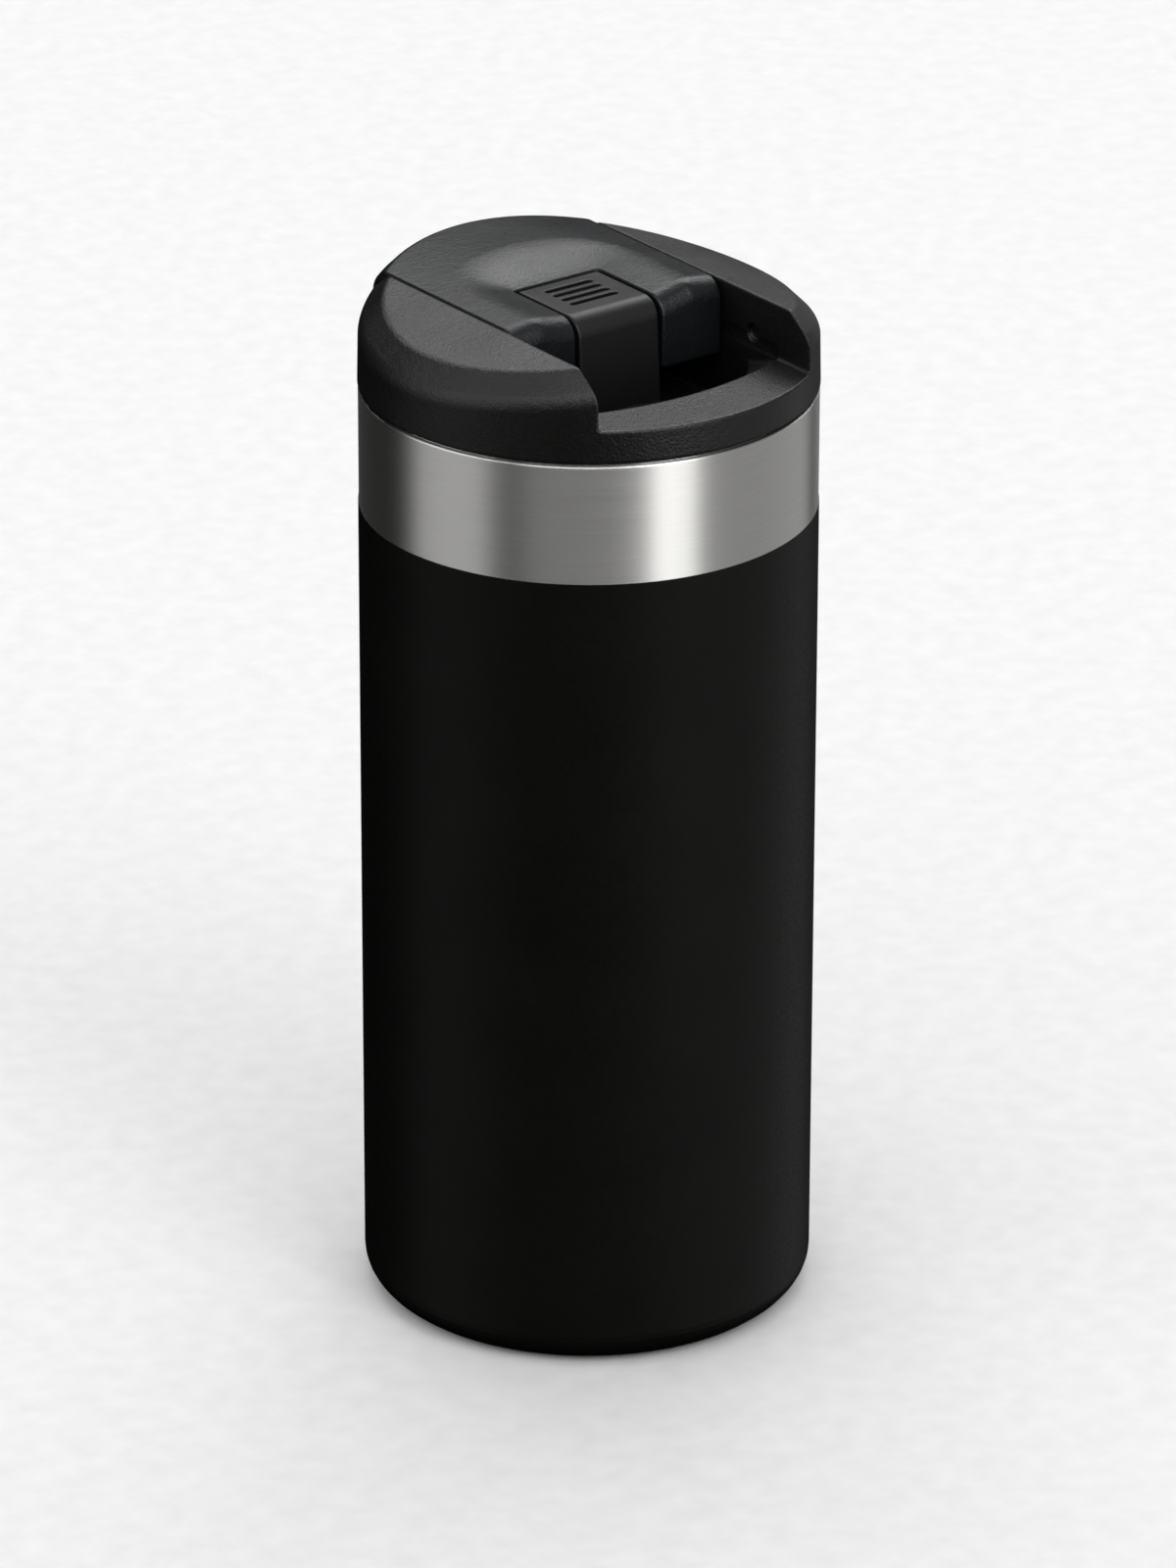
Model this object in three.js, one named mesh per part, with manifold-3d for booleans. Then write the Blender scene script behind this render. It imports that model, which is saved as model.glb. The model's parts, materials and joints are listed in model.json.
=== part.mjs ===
// Insulated travel mug with a screw-in lid, a flip cover and a latch button.
// Millimetres, +Z up, origin at the centre of the base, drinking side towards -Y.
import * as THREE from 'three';
import { mergeVertices } from 'three/addons/utils/BufferGeometryUtils.js';
import Module from 'manifold-3d';

const wasm = await Module();
wasm.setup();

// ---------------------------------------------------------------- driving dimensions
const GAP = 0.3; // between fixed neighbours
const RUNNING_GAP = 0.07; // pins in their holes
const ROUND = 48; // facets of a full turn on large round parts
const FINE = 16; // facets of a full turn on small round parts

const BODY_R = 35;
const WALL = 0.8;
const FOOT_R = 27.8;
const FOOT_INNER_R = 24;
const COAT_TOP_Z = 130.8;
const BARE_R = 34.9; // the bare steel above the coat
const RIM_Z = 149.5;

const VESSEL_R = 31;
const VESSEL_FLOOR_Z = 8.5;
const VESSEL_CORNER = 6.5;
const NECK_R = 29.3; // inside of the neck
const BEAD_R = 27.2; // inside of the sealing bead below the neck
const BEAD_Z = 134;

const THREAD_LEAD = 8;
const THREAD_STARTS = 2;
const THREAD_TURNS = 0.8;
const THREAD_STEPS = 24;
const THREAD_BASE_HALF = 0.95;
const THREAD_TIP_HALF = 0.45;
const NECK_THREAD_R = 28.25; // crest of the thread inside the neck
const PLUG_THREAD_R = 28.75; // crest of the thread on the plug
const THREAD_Z = 139.2;

const PLUG_R = 27.5;
const PLUG_INNER_R = 26;
const PLUG_FLOOR_Z = 135.6;
const PLUG_FLANGE_R = 32.9;
const PLUG_TOP_Z = 150.6;

const LID_Z = 150; // underside of the lid's skirt
const LID_TOP_R = 34.8;
const CROWN_Z = 165.4;
const CROWN_RADIUS = 119; // the top is a flat arch across X
const WING_CROWN_R = 31; // where the wings' shoulder starts
const TAIL_CROWN_R = 32.2; // where the cover's rear shoulder starts
const SLOT_HALF = 19.7; // the slot between the wings
const LIP_Z = 155.1;
const LIP_ARC_R = 52;
const LIP_ARC_Y = -24.4;
const WELL_Z = 144.4;
const WELL_FLOOR = 1.8;
const WELL_REAR_Y = 14.6;
const DECK_Z = 151.9; // floor under the hinge

const SPOUT_Y = 2;
const SPOUT_R = 4.5;
const VENT_Y = 11;
const VENT_R = 1.2;
const COLLAR_Z = 149; // top of the collars round the spout and the vent
const SPOUT_COLLAR_R = 6.2;
const VENT_COLLAR_R = 2.4;

const HINGE_Y = 27;
const HINGE_Z = 160.3;
const HINGE_PIN_R = 1.25;
const TAIL_SWEEP_GAP = 0.7; // round the path of the cover's tail as it swings down
const TAIL_SWEEP_MIN_R = 4.4;
const ARM_ANGLE = THREE.MathUtils.degToRad(215);
const ARM_HALF = 1.4;
const ARM_X = [7.4, 10.4];
const SPRING_X = 3.4; // inner end of each hinge spring

const COVER_HALF = 19.4;
const COVER_FRONT_Y = -7.6;
const COVER_BOTTOM_Z = 152;
const COVER_WALL = 2;
const PLATE_Z = 152.2;
const PLATE_TOP_Z = 153.7;
const DISH_Y = 3;
const NOTCH_HALF = 8.1;
const NOTCH_REAR_Y = 8.5;

const BUTTON_HALF = 7.5;
const BUTTON_REAR_Y = 7.9;
const BUTTON_TOP_Z = 163.3;
const BUTTON_FOOT_Z = 146.2;
const CATCH_Y = -10.4; // rear edge of the ledge that the button's hook meets
const CATCH_Z = 147.8;
const BUTTON_PIN_Y = 4.5;
const BUTTON_PIN_Z = 158.6;
const BUTTON_PIN_R = 1;

// ---------------------------------------------------------------- geometry helpers

/** Signed volume of an indexed triangle mesh. */
function signedVolume(position, index) {
  const a = new THREE.Vector3();
  const b = new THREE.Vector3();
  const c = new THREE.Vector3();
  let sum = 0;
  for (let i = 0; i < index.length; i += 3) {
    a.fromBufferAttribute(position, index[i]);
    b.fromBufferAttribute(position, index[i + 1]);
    c.fromBufferAttribute(position, index[i + 2]);
    sum += a.dot(b.cross(c)) / 6;
  }
  return sum;
}

/** A closed three.js geometry as a solid: shared vertices merged, slivers dropped, faces out. */
function solid(source) {
  const geometry = source.clone();
  geometry.deleteAttribute('normal');
  geometry.deleteAttribute('uv');
  const merged = mergeVertices(geometry, 1e-4);
  const triangles = [];
  const raw = merged.index.array;
  for (let i = 0; i < raw.length; i += 3) {
    const [a, b, c] = [raw[i], raw[i + 1], raw[i + 2]];
    if (a !== b && b !== c && c !== a) {
      triangles.push(a, b, c);
    }
  }
  if (signedVolume(merged.attributes.position, triangles) < 0) {
    triangles.reverse();
  }
  const vertProperties = new Float32Array(merged.attributes.position.array);
  const mesh = new wasm.Mesh({ numProp: 3, vertProperties, triVerts: new Uint32Array(triangles) });
  return new wasm.Manifold(mesh);
}

/** A solid back as a three.js geometry. */
function geometryOf(body) {
  const mesh = body.getMesh();
  const geometry = new THREE.BufferGeometry();
  geometry.setAttribute('position', new THREE.BufferAttribute(mesh.vertProperties, 3));
  geometry.setIndex(new THREE.BufferAttribute(mesh.triVerts, 1));
  geometry.computeVertexNormals();
  return geometry;
}

/** Revolves [radius, height] points about Z; the outline closes itself unless it ends on the axis. */
function revolved(points, segments = ROUND) {
  const outline = points.map(([r, z]) => new THREE.Vector2(r, z));
  const onAxis = outline[0].x === 0 && outline.at(-1).x === 0;
  if (!onAxis) {
    outline.push(outline[0].clone());
  }
  return new THREE.LatheGeometry(outline, segments).rotateX(Math.PI / 2);
}

const turned = (points, segments) => solid(revolved(points, segments));

/** A disc or a bar about Z at (x, y). */
function disc(radius, low, high, x = 0, y = 0, segments = FINE) {
  const geometry = new THREE.CylinderGeometry(radius, radius, high - low, segments);
  return solid(geometry.rotateX(Math.PI / 2).translate(x, y, (low + high) / 2));
}

/** A round bar along X through (y, z). */
function crossBar(radius, left, right, y, z, segments = FINE) {
  const geometry = new THREE.CylinderGeometry(radius, radius, right - left, segments);
  return solid(geometry.rotateZ(Math.PI / 2).translate((left + right) / 2, y, z));
}

function block([x0, x1], [y0, y1], [z0, z1]) {
  const geometry = new THREE.BoxGeometry(x1 - x0, y1 - y0, z1 - z0);
  return solid(geometry.translate((x0 + x1) / 2, (y0 + y1) / 2, (z0 + z1) / 2));
}

/** An outline in the YZ plane, extruded along X from left to right. */
function sidePrism(shape, left, right) {
  const geometry = new THREE.ExtrudeGeometry(shape, {
    depth: right - left,
    bevelEnabled: false,
    curveSegments: 8,
  });
  const yzx = new THREE.Matrix4().set(0, 0, 1, left, 1, 0, 0, 0, 0, 1, 0, 0, 0, 0, 0, 1);
  return solid(geometry.applyMatrix4(yzx));
}

/** An outline in the XY plane, extruded along Z. */
function plate(shape, low, high, curveSegments = 12) {
  const options = { depth: high - low, bevelEnabled: false, curveSegments };
  return solid(new THREE.ExtrudeGeometry(shape, options).translate(0, 0, low));
}

const polygon = (points) => new THREE.Shape(points.map(([x, y]) => new THREE.Vector2(x, y)));

/** Points of an arc from one angle to another, in degrees. */
function arc([cx, cy], radius, from, to, steps) {
  const points = [];
  for (let i = 0; i <= steps; i += 1) {
    const angle = THREE.MathUtils.degToRad(from + ((to - from) * i) / steps);
    points.push([cx + radius * Math.cos(angle), cy + radius * Math.sin(angle)]);
  }
  return points;
}

const mirrored = (body) => body.mirror([1, 0, 0]);
const bothSides = (body) => body.add(mirrored(body));
const joined = (...bodies) => bodies.reduce((sum, body) => sum.add(body));
const cut = (body, ...tools) => tools.reduce((rest, tool) => rest.subtract(tool), body);

/** Drop of the arched top below its crown line, at x. */
const archDrop = (x) => CROWN_RADIUS - Math.sqrt(CROWN_RADIUS ** 2 - x ** 2);

/** Bends the top of a revolved blank into the lid's arch; the shoulder follows the crown's edge. */
function arched(geometry, crownR, fromZ) {
  const position = geometry.attributes.position;
  for (let i = 0; i < position.count; i += 1) {
    const x = position.getX(i);
    const radius = Math.hypot(x, position.getY(i));
    if (position.getZ(i) > fromZ) {
      const edge = radius > crownR ? (x * crownR) / radius : x;
      position.setZ(i, position.getZ(i) - archDrop(edge));
    }
  }
  return geometry;
}

/** Outline of the lid's top: straight side, soft blend, 45 degree shoulder, crown. */
function crownOutline(crownR) {
  const foot = CROWN_Z - (LID_TOP_R - crownR);
  const blend = 3;
  const tangent = blend * Math.tan(Math.PI / 8);
  const edge = 0.6;
  return [
    ...arc([LID_TOP_R - blend, foot - tangent], blend, 0, 45, 3),
    [crownR + edge * Math.SQRT1_2, CROWN_Z - edge * Math.SQRT1_2],
    [crownR + edge * 0.2, CROWN_Z - edge * 0.15],
    [crownR - edge, CROWN_Z],
    [24, CROWN_Z],
    [16, CROWN_Z],
    [8, CROWN_Z],
    [0, CROWN_Z],
  ];
}

/** One thread ridge: a trapezoid swept along a helix, fading out at both ends. */
function threadRidge(rootR, crestR, startAngle, startZ) {
  const outline = polygon([
    [0, -THREAD_BASE_HALF],
    [1, -THREAD_TIP_HALF],
    [1, THREAD_TIP_HALF],
    [0, THREAD_BASE_HALF],
  ]);
  const options = { depth: 1, steps: THREAD_STEPS, bevelEnabled: false };
  const geometry = new THREE.ExtrudeGeometry(outline, options);
  const position = geometry.attributes.position;
  for (let i = 0; i < position.count; i += 1) {
    const along = position.getZ(i);
    const fade = Math.min(1, 0.15 + 12 * Math.min(along, 1 - along));
    const radius = rootR + (crestR - rootR) * position.getX(i) * fade;
    const turn = along * THREAD_TURNS;
    const angle = startAngle + turn * 2 * Math.PI;
    const height = startZ + turn * THREAD_LEAD + position.getY(i);
    position.setXYZ(i, radius * Math.cos(angle), radius * Math.sin(angle), height);
  }
  return solid(geometry);
}

/** All the starts of a thread. */
function thread(rootR, crestR, firstAngle, startZ) {
  const ridges = [];
  for (let i = 0; i < THREAD_STARTS; i += 1) {
    ridges.push(threadRidge(rootR, crestR, firstAngle + (i * 2 * Math.PI) / THREAD_STARTS, startZ));
  }
  return joined(...ridges);
}

/** A coil about Z with straight tails: radius and height along t from 0 to 1. */
class CoilCurve extends THREE.Curve {
  constructor(radius, height, turns, tail) {
    super();
    Object.assign(this, { radius, height, turns, tail });
  }

  getPoint(t, target = new THREE.Vector3()) {
    const coiled = this.turns * 2 * Math.PI * this.radius;
    const run = t * (coiled + this.tail);
    const angle = Math.min(run, coiled) / this.radius;
    const beyond = Math.max(0, run - coiled);
    const [cos, sin] = [Math.cos(angle), Math.sin(angle)];
    const x = this.radius * cos - beyond * sin;
    const y = this.radius * sin + beyond * cos;
    return target.set(x, y, (this.height * Math.min(run, coiled)) / coiled);
  }
}

function coil(radius, wireR, height, turns, tail, stepsPerTurn = 9) {
  const wire = new THREE.Shape();
  wire.absarc(0, 0, wireR, 0, 2 * Math.PI);
  return new THREE.ExtrudeGeometry(wire, {
    extrudePath: new CoilCurve(radius, height, turns, tail),
    steps: Math.round(stepsPerTurn * (turns + tail / (2 * Math.PI * radius))),
    curveSegments: 3,
    bevelEnabled: false,
  });
}

// ---------------------------------------------------------------- body

function outerShell() {
  const outerArc = arc([FOOT_R, BODY_R - FOOT_R], BODY_R - FOOT_R, -90, 0, 6);
  const innerArc = arc([FOOT_R, BODY_R - FOOT_R], BODY_R - FOOT_R - WALL, 0, -90, 4);
  const innerR = BODY_R - WALL;
  return turned([
    [FOOT_INNER_R, 0],
    ...outerArc,
    [BODY_R, COAT_TOP_Z],
    [BARE_R, COAT_TOP_Z + 0.1],
    [BARE_R, RIM_Z - 0.4],
    [BARE_R - 0.25, RIM_Z],
    [innerR, RIM_Z],
    ...innerArc,
    [FOOT_INNER_R, WALL],
  ]);
}

function basePan() {
  const low = WALL + GAP;
  const port = 2;
  return turned([
    [port, low],
    [FOOT_R - WALL, low],
    [FOOT_R - WALL, low + WALL],
    [port, low + WALL],
  ]);
}

const vacuumSeal = () => turned([[0, 1], [1.7, 1], [1.7, 2], [0.9, 2.4], [0, 2.4]], FINE);
const baseCap = () => disc(FOOT_INNER_R - GAP, 0.2, WALL, 0, 0, ROUND);

const GETTER_X = 12;
const getterCup = () =>
  turned([[0, 2.2], [5, 2.2], [5, 4.2], [4.5, 4.2], [4.5, 2.7], [0, 2.7]], FINE).translate([GETTER_X, 0, 0]);
const getter = () => disc(4.2, 3, 5, GETTER_X, 0);

function innerVessel() {
  const inner = VESSEL_R - WALL;
  const cornerZ = VESSEL_FLOOR_Z + VESSEL_CORNER;
  const cornerR = VESSEL_R - VESSEL_CORNER;
  const wall = turned([
    [0, VESSEL_FLOOR_Z],
    ...arc([cornerR, cornerZ], VESSEL_CORNER, -90, 0, 4),
    [VESSEL_R, BEAD_Z - 2.5],
    [BEAD_R + WALL, BEAD_Z - 0.6],
    [BEAD_R + WALL, BEAD_Z + 0.6],
    [NECK_R + WALL, BEAD_Z + 2.2],
    [NECK_R + WALL, RIM_Z - 1.5],
    [NECK_R + 1.5, RIM_Z - WALL],
    [BODY_R - WALL - GAP, RIM_Z - WALL],
    [BODY_R - WALL - GAP, RIM_Z],
    [NECK_R + 0.9, RIM_Z],
    [NECK_R, RIM_Z - 0.8],
    [NECK_R, BEAD_Z + 2],
    [BEAD_R, BEAD_Z + 0.6],
    [BEAD_R, BEAD_Z - 0.6],
    [inner, BEAD_Z - 2.7],
    ...arc([cornerR, cornerZ], VESSEL_CORNER - WALL, 0, -90, 4),
    [0, VESSEL_FLOOR_Z + WALL],
  ]);
  return wall.add(thread(NECK_R + 0.25, NECK_THREAD_R, 0, THREAD_Z));
}

// ---------------------------------------------------------------- lid: fixed parts

function lidPlug() {
  const wallR = 25.7;
  const lowInnerR = 24.2;
  const cup = turned([
    [0, PLUG_FLOOR_Z],
    [wallR + 0.9, PLUG_FLOOR_Z],
    [wallR + 0.9, PLUG_FLOOR_Z + 0.5],
    [wallR, PLUG_FLOOR_Z + 0.5],
    [wallR, PLUG_FLOOR_Z + 2.6],
    [PLUG_R, PLUG_FLOOR_Z + 2.6],
    [PLUG_R, RIM_Z - 0.2],
    [PLUG_R + 0.5, RIM_Z + GAP],
    [PLUG_FLANGE_R, RIM_Z + GAP],
    [PLUG_FLANGE_R, PLUG_TOP_Z],
    [PLUG_INNER_R, PLUG_TOP_Z],
    [PLUG_INNER_R, PLUG_FLOOR_Z + 4],
    [lowInnerR, PLUG_FLOOR_Z + 3.6],
    [lowInnerR, PLUG_FLOOR_Z + 1.6],
    [0, PLUG_FLOOR_Z + 1.6],
  ]);
  const tubeTop = WELL_Z - WELL_FLOOR - GAP;
  const tubes = joined(
    disc(SPOUT_COLLAR_R, PLUG_FLOOR_Z + 1, tubeTop, 0, SPOUT_Y, 28),
    disc(VENT_COLLAR_R, PLUG_FLOOR_Z + 1, tubeTop, 0, VENT_Y),
  );
  const holes = joined(
    disc(SPOUT_R, PLUG_FLOOR_Z - 1, tubeTop + 1, 0, SPOUT_Y, 28),
    disc(VENT_R, PLUG_FLOOR_Z - 1, tubeTop + 1, 0, VENT_Y),
  );
  const halfPitchTurn = Math.PI / THREAD_STARTS;
  const ridges = thread(PLUG_R - 0.25, PLUG_THREAD_R, halfPitchTurn, THREAD_Z);
  return cut(joined(cup, tubes, ridges), holes);
}

function mouthGasket() {
  const low = PLUG_FLOOR_Z + 0.5 + GAP;
  const high = PLUG_FLOOR_Z + 2.6 - GAP;
  const lipR = NECK_THREAD_R - GAP; // passes the neck's thread as the lid comes out
  return turned([
    [26, low],
    [26.9, low],
    [27.5, low - 0.9],
    [lipR, low - 0.9],
    [lipR, low + 0.1],
    [27.4, high],
    [26, high],
  ]);
}

/** The drinking well: between the wings, behind the lip's arc, narrowing downwards. */
function wellTool() {
  const front = new THREE.Shape();
  const centre = LIP_ARC_Y + LIP_ARC_R;
  const spread = Math.asin(SLOT_HALF / LIP_ARC_R);
  front.absarc(0, centre, LIP_ARC_R, 1.5 * Math.PI - spread, 1.5 * Math.PI + spread);
  front.lineTo(SLOT_HALF, WELL_REAR_Y);
  front.lineTo(-SLOT_HALF, WELL_REAR_Y);
  const outline = plate(front, WELL_Z, LIP_Z + 1);
  const throatR = 24;
  const throatZ = PLUG_TOP_Z + 1.9;
  const cone = turned([[0, WELL_Z - 1], [throatR, WELL_Z - 1], [throatR, throatZ], [30, LIP_Z], [30, LIP_Z + 2],
    [0, LIP_Z + 2]]);
  return outline.intersect(cone);
}

/** The slot that the cover lies in, with room for its tail to swing down at the rear. */
function slotTool() {
  const beyond = BODY_R + 5;
  const rearZ = HINGE_Z - 2.6;
  const slot = sidePrism(
    polygon([
      [-beyond, LIP_Z],
      [HINGE_Y, LIP_Z],
      [HINGE_Y, rearZ],
      [beyond, rearZ],
      [beyond, CROWN_Z + 2],
      [-beyond, CROWN_Z + 2],
    ]),
    -SLOT_HALF,
    SLOT_HALF,
  );
  const deck = block([-SLOT_HALF, SLOT_HALF], [WELL_REAR_Y - 1, HINGE_Y], [DECK_Z, CROWN_Z]);
  return joined(slot, deck, tailSweep());
}

/** Barrel about the hinge pin that the cover's round tail stays within. */
function tailSweep() {
  const steps = 6;
  const points = [[0, -SLOT_HALF]];
  for (let i = 0; i <= steps; i += 1) {
    const x = SLOT_HALF * ((2 * i) / steps - 1);
    const reach = Math.sqrt(LID_TOP_R ** 2 - x ** 2) - HINGE_Y + TAIL_SWEEP_GAP;
    points.push([Math.max(reach, TAIL_SWEEP_MIN_R), x]);
  }
  points.push([0, SLOT_HALF]);
  const barrel = revolved(points, 48).rotateY(Math.PI / 2);
  return solid(barrel.translate(0, HINGE_Y, HINGE_Z));
}

/** Arms that carry the hinge pin, leaning back over the tail's path. */
function hingeArms() {
  const reach = 14;
  const [cos, sin] = [Math.cos(ARM_ANGLE), Math.sin(ARM_ANGLE)];
  const eyeR = 2.4;
  const shape = polygon([
    [HINGE_Y - ARM_HALF * sin, HINGE_Z + ARM_HALF * cos],
    [HINGE_Y - ARM_HALF * sin + reach * cos, HINGE_Z + ARM_HALF * cos + reach * sin],
    [HINGE_Y + ARM_HALF * sin + reach * cos, HINGE_Z - ARM_HALF * cos + reach * sin],
    [HINGE_Y + ARM_HALF * sin, HINGE_Z - ARM_HALF * cos],
  ]);
  const [left, right] = ARM_X;
  const bar = sidePrism(shape, left, right);
  const foot = block([left, right], [WELL_REAR_Y, WELL_REAR_Y + 4], [WELL_Z, DECK_Z + 1]);
  const underside = block([left - 1, right + 1], [0, WELL_REAR_Y], [WELL_Z - 5, DECK_Z - 1.5]);
  const arm = cut(bar.add(crossBar(eyeR, left, right, HINGE_Y, HINGE_Z)), underside).add(foot);
  return bothSides(arm);
}

/** Ledge in front of the button's hook, set far enough forward for the hook's path. */
function catchLedge() {
  const frontY = CATCH_Y - 2.6;
  const top = CATCH_Z + 1.2;
  const shape = polygon([
    [frontY, WELL_Z - 0.5],
    [frontY + 1.4, WELL_Z - 0.5],
    [frontY + 1.4, CATCH_Z],
    [CATCH_Y, CATCH_Z],
    [CATCH_Y, CATCH_Z + 0.5],
    [CATCH_Y - 0.7, top],
    [frontY + 0.4, top],
    [frontY, top - 0.4],
  ]);
  return sidePrism(shape, -4.5, 4.5);
}

/** Hollows under the wings, open downwards. */
function wingHollows() {
  const low = LID_Z - 1;
  const ring = turned([[27, low], [32.8, low], [32.8, 154.5], [29.8, 158], [27, 158]]);
  const side = block([SLOT_HALF + 1.8, 40], [-25, 25], [low - 1, CROWN_Z]);
  return bothSides(ring.intersect(side));
}

function lidHousing() {
  const bossR = PLUG_INNER_R - GAP;
  const recessZ = PLUG_TOP_Z + GAP;
  const blank = revolved([
    [0, WELL_Z - WELL_FLOOR],
    [bossR, WELL_Z - WELL_FLOOR],
    [bossR, recessZ],
    [PLUG_FLANGE_R + GAP, recessZ],
    [PLUG_FLANGE_R + GAP, LID_Z],
    [BODY_R - 0.2, LID_Z],
    [BODY_R, LID_Z + 0.2],
    ...crownOutline(WING_CROWN_R),
  ]);
  const envelope = solid(arched(blank, WING_CROWN_R, LID_Z + 1));
  const collars = joined(
    disc(SPOUT_COLLAR_R, WELL_Z - 1, COLLAR_Z, 0, SPOUT_Y, 28),
    disc(VENT_COLLAR_R, WELL_Z - 1, COLLAR_Z, 0, VENT_Y),
  );
  const holes = joined(
    disc(SPOUT_R, WELL_Z - 3, COLLAR_Z + 1, 0, SPOUT_Y, 28),
    disc(VENT_R, WELL_Z - 3, COLLAR_Z + 1, 0, VENT_Y),
    crossBar(HINGE_PIN_R + RUNNING_GAP, -COVER_HALF, COVER_HALF, HINGE_Y, HINGE_Z),
    bothSides(crossBar(1.3, SLOT_HALF - 1, SLOT_HALF + 0.8, -14.7, 157.4)),
  );
  const open = cut(envelope, slotTool(), wellTool(), wingHollows());
  return cut(joined(open, collars, hingeArms(), catchLedge()), holes);
}

// ---------------------------------------------------------------- lid: flip cover

/** Side outline of the cover: rounded front top edge, tail raised off the rear wall. */
function coverSide() {
  const round = 5;
  const top = 164.2;
  const tailZ = HINGE_Z - 2.2;
  return polygon([
    [COVER_FRONT_Y, COVER_BOTTOM_Z],
    [20.5, COVER_BOTTOM_Z],
    [23.5, HINGE_Z - 3.8],
    [HINGE_Y, HINGE_Z - 3],
    [HINGE_Y + 5, tailZ],
    [BODY_R + 3, tailZ],
    [BODY_R + 3, CROWN_Z + 2],
    [8, CROWN_Z + 2],
    ...arc([COVER_FRONT_Y + 0.3 + round, top - round], round, 90, 175, 5),
  ]);
}

/** The shallow dish sunk round the button. */
function dishTool() {
  const floorZ = 163.35;
  const dish = turned([[0, floorZ], [10, floorZ], [12, floorZ + 0.25], [14, floorZ + 0.8], [16, floorZ + 1.6],
    [18, floorZ + 2.6], [18, floorZ + 5], [0, floorZ + 5]], 48);
  return dish.translate([0, DISH_Y, 0]);
}

/** Space inside the cover, leaving its skin and the ribs beside the button. */
function coverHollow() {
  const half = COVER_HALF - COVER_WALL;
  const frontY = COVER_FRONT_Y + COVER_WALL + 0.2;
  const front = block([-half, half], [frontY, 22], [COVER_BOTTOM_Z - 1, 161.2]);
  const rear = block([-half, half], [20.5, HINGE_Y + 6], [COVER_BOTTOM_Z - 1, 163.1]);
  const ribs = block([-NOTCH_HALF - 1.9, NOTCH_HALF + 1.9], [frontY - 1, NOTCH_REAR_Y + 1.9],
    [PLATE_TOP_Z + GAP, CROWN_Z]);
  return rear.intersect(disc(33, COVER_BOTTOM_Z - 2, CROWN_Z, 0, 0, ROUND)).add(cut(front, ribs));
}

function flipCover() {
  const blank = revolved([
    [0, COVER_BOTTOM_Z - 1],
    [BODY_R - 0.1, COVER_BOTTOM_Z - 1],
    ...crownOutline(TAIL_CROWN_R),
  ]);
  const envelope = solid(arched(blank, TAIL_CROWN_R, COVER_BOTTOM_Z));
  const blockOut = envelope.intersect(sidePrism(coverSide(), -COVER_HALF, COVER_HALF));
  const notch = block([-NOTCH_HALF, NOTCH_HALF], [COVER_FRONT_Y - 2, NOTCH_REAR_Y],
    [COVER_BOTTOM_Z - 1, CROWN_Z + 1]);
  const bosses = bothSides(disc(2.6, PLATE_TOP_Z + GAP, 162, 13.6, 2));
  const bores = joined(
    bothSides(disc(1.15, PLATE_Z, 159.5, 13.6, 2, 12)),
    crossBar(HINGE_PIN_R + RUNNING_GAP, -COVER_HALF - 1, COVER_HALF + 1, HINGE_Y, HINGE_Z),
    crossBar(BUTTON_PIN_R + RUNNING_GAP, -9.9, 9.9, BUTTON_PIN_Y, BUTTON_PIN_Z),
  );
  return cut(cut(blockOut, dishTool(), coverHollow()).add(bosses), notch, bores);
}

function coverPlate() {
  const half = COVER_HALF - COVER_WALL - GAP;
  const shape = polygon([
    [-half, -5.1],
    [-NOTCH_HALF, -5.1],
    [-NOTCH_HALF, -4],
    [NOTCH_HALF, -4],
    [NOTCH_HALF, -5.1],
    [half, -5.1],
    [half, 13.4],
    [-half, 13.4],
  ]);
  return cut(plate(shape, PLATE_Z, PLATE_TOP_Z), bothSides(disc(1.4, PLATE_Z - 1, PLATE_TOP_Z + 1, 13.6, 2)));
}

function coverScrew() {
  const headR = 2.1;
  return turned([[0, 151], [headR - 0.4, 151], [headR, 151.4], [headR, PLATE_Z - 0.2], [0.9, PLATE_Z - 0.2],
    [0.9, 158.6], [0, 159.2]], 12).translate([13.6, 2, 0]);
}

function spoutSeal() {
  const low = COLLAR_Z + GAP;
  return turned([[0, low - 1], [2.2, low - 0.9], [3.4, low], [5.8, low], [5.8, low + 1.2], [3, low + 1.6],
    [3, PLATE_Z - GAP], [0, PLATE_Z - GAP]], 28).translate([0, SPOUT_Y, 0]);
}

function ventSeal() {
  const low = COLLAR_Z + GAP;
  return turned([[0, low], [2.2, low], [2.2, low + 1.2], [1.4, low + 1.5], [1.4, PLATE_Z - GAP],
    [0, PLATE_Z - GAP]], 16).translate([0, VENT_Y, 0]);
}

const hingePin = () => crossBar(HINGE_PIN_R, -COVER_HALF + 0.2, COVER_HALF - 0.2, HINGE_Y, HINGE_Z, 16);

/** Torsion spring beside an arm: its coil is round the pin and its leg lies along the arm. */
function hingeSpringGeometry() {
  const geometry = coil(2, 0.3, 3.2, 4.25, 8.5);
  const tailAngle = Math.PI;
  geometry.rotateZ(ARM_ANGLE - tailAngle);
  const yzx = new THREE.Matrix4().set(0, 0, 1, SPRING_X, 1, 0, 0, HINGE_Y, 0, 1, 0, HINGE_Z, 0, 0, 0, 1);
  return geometry.applyMatrix4(yzx);
}

// ---------------------------------------------------------------- lid: latch button

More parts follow.
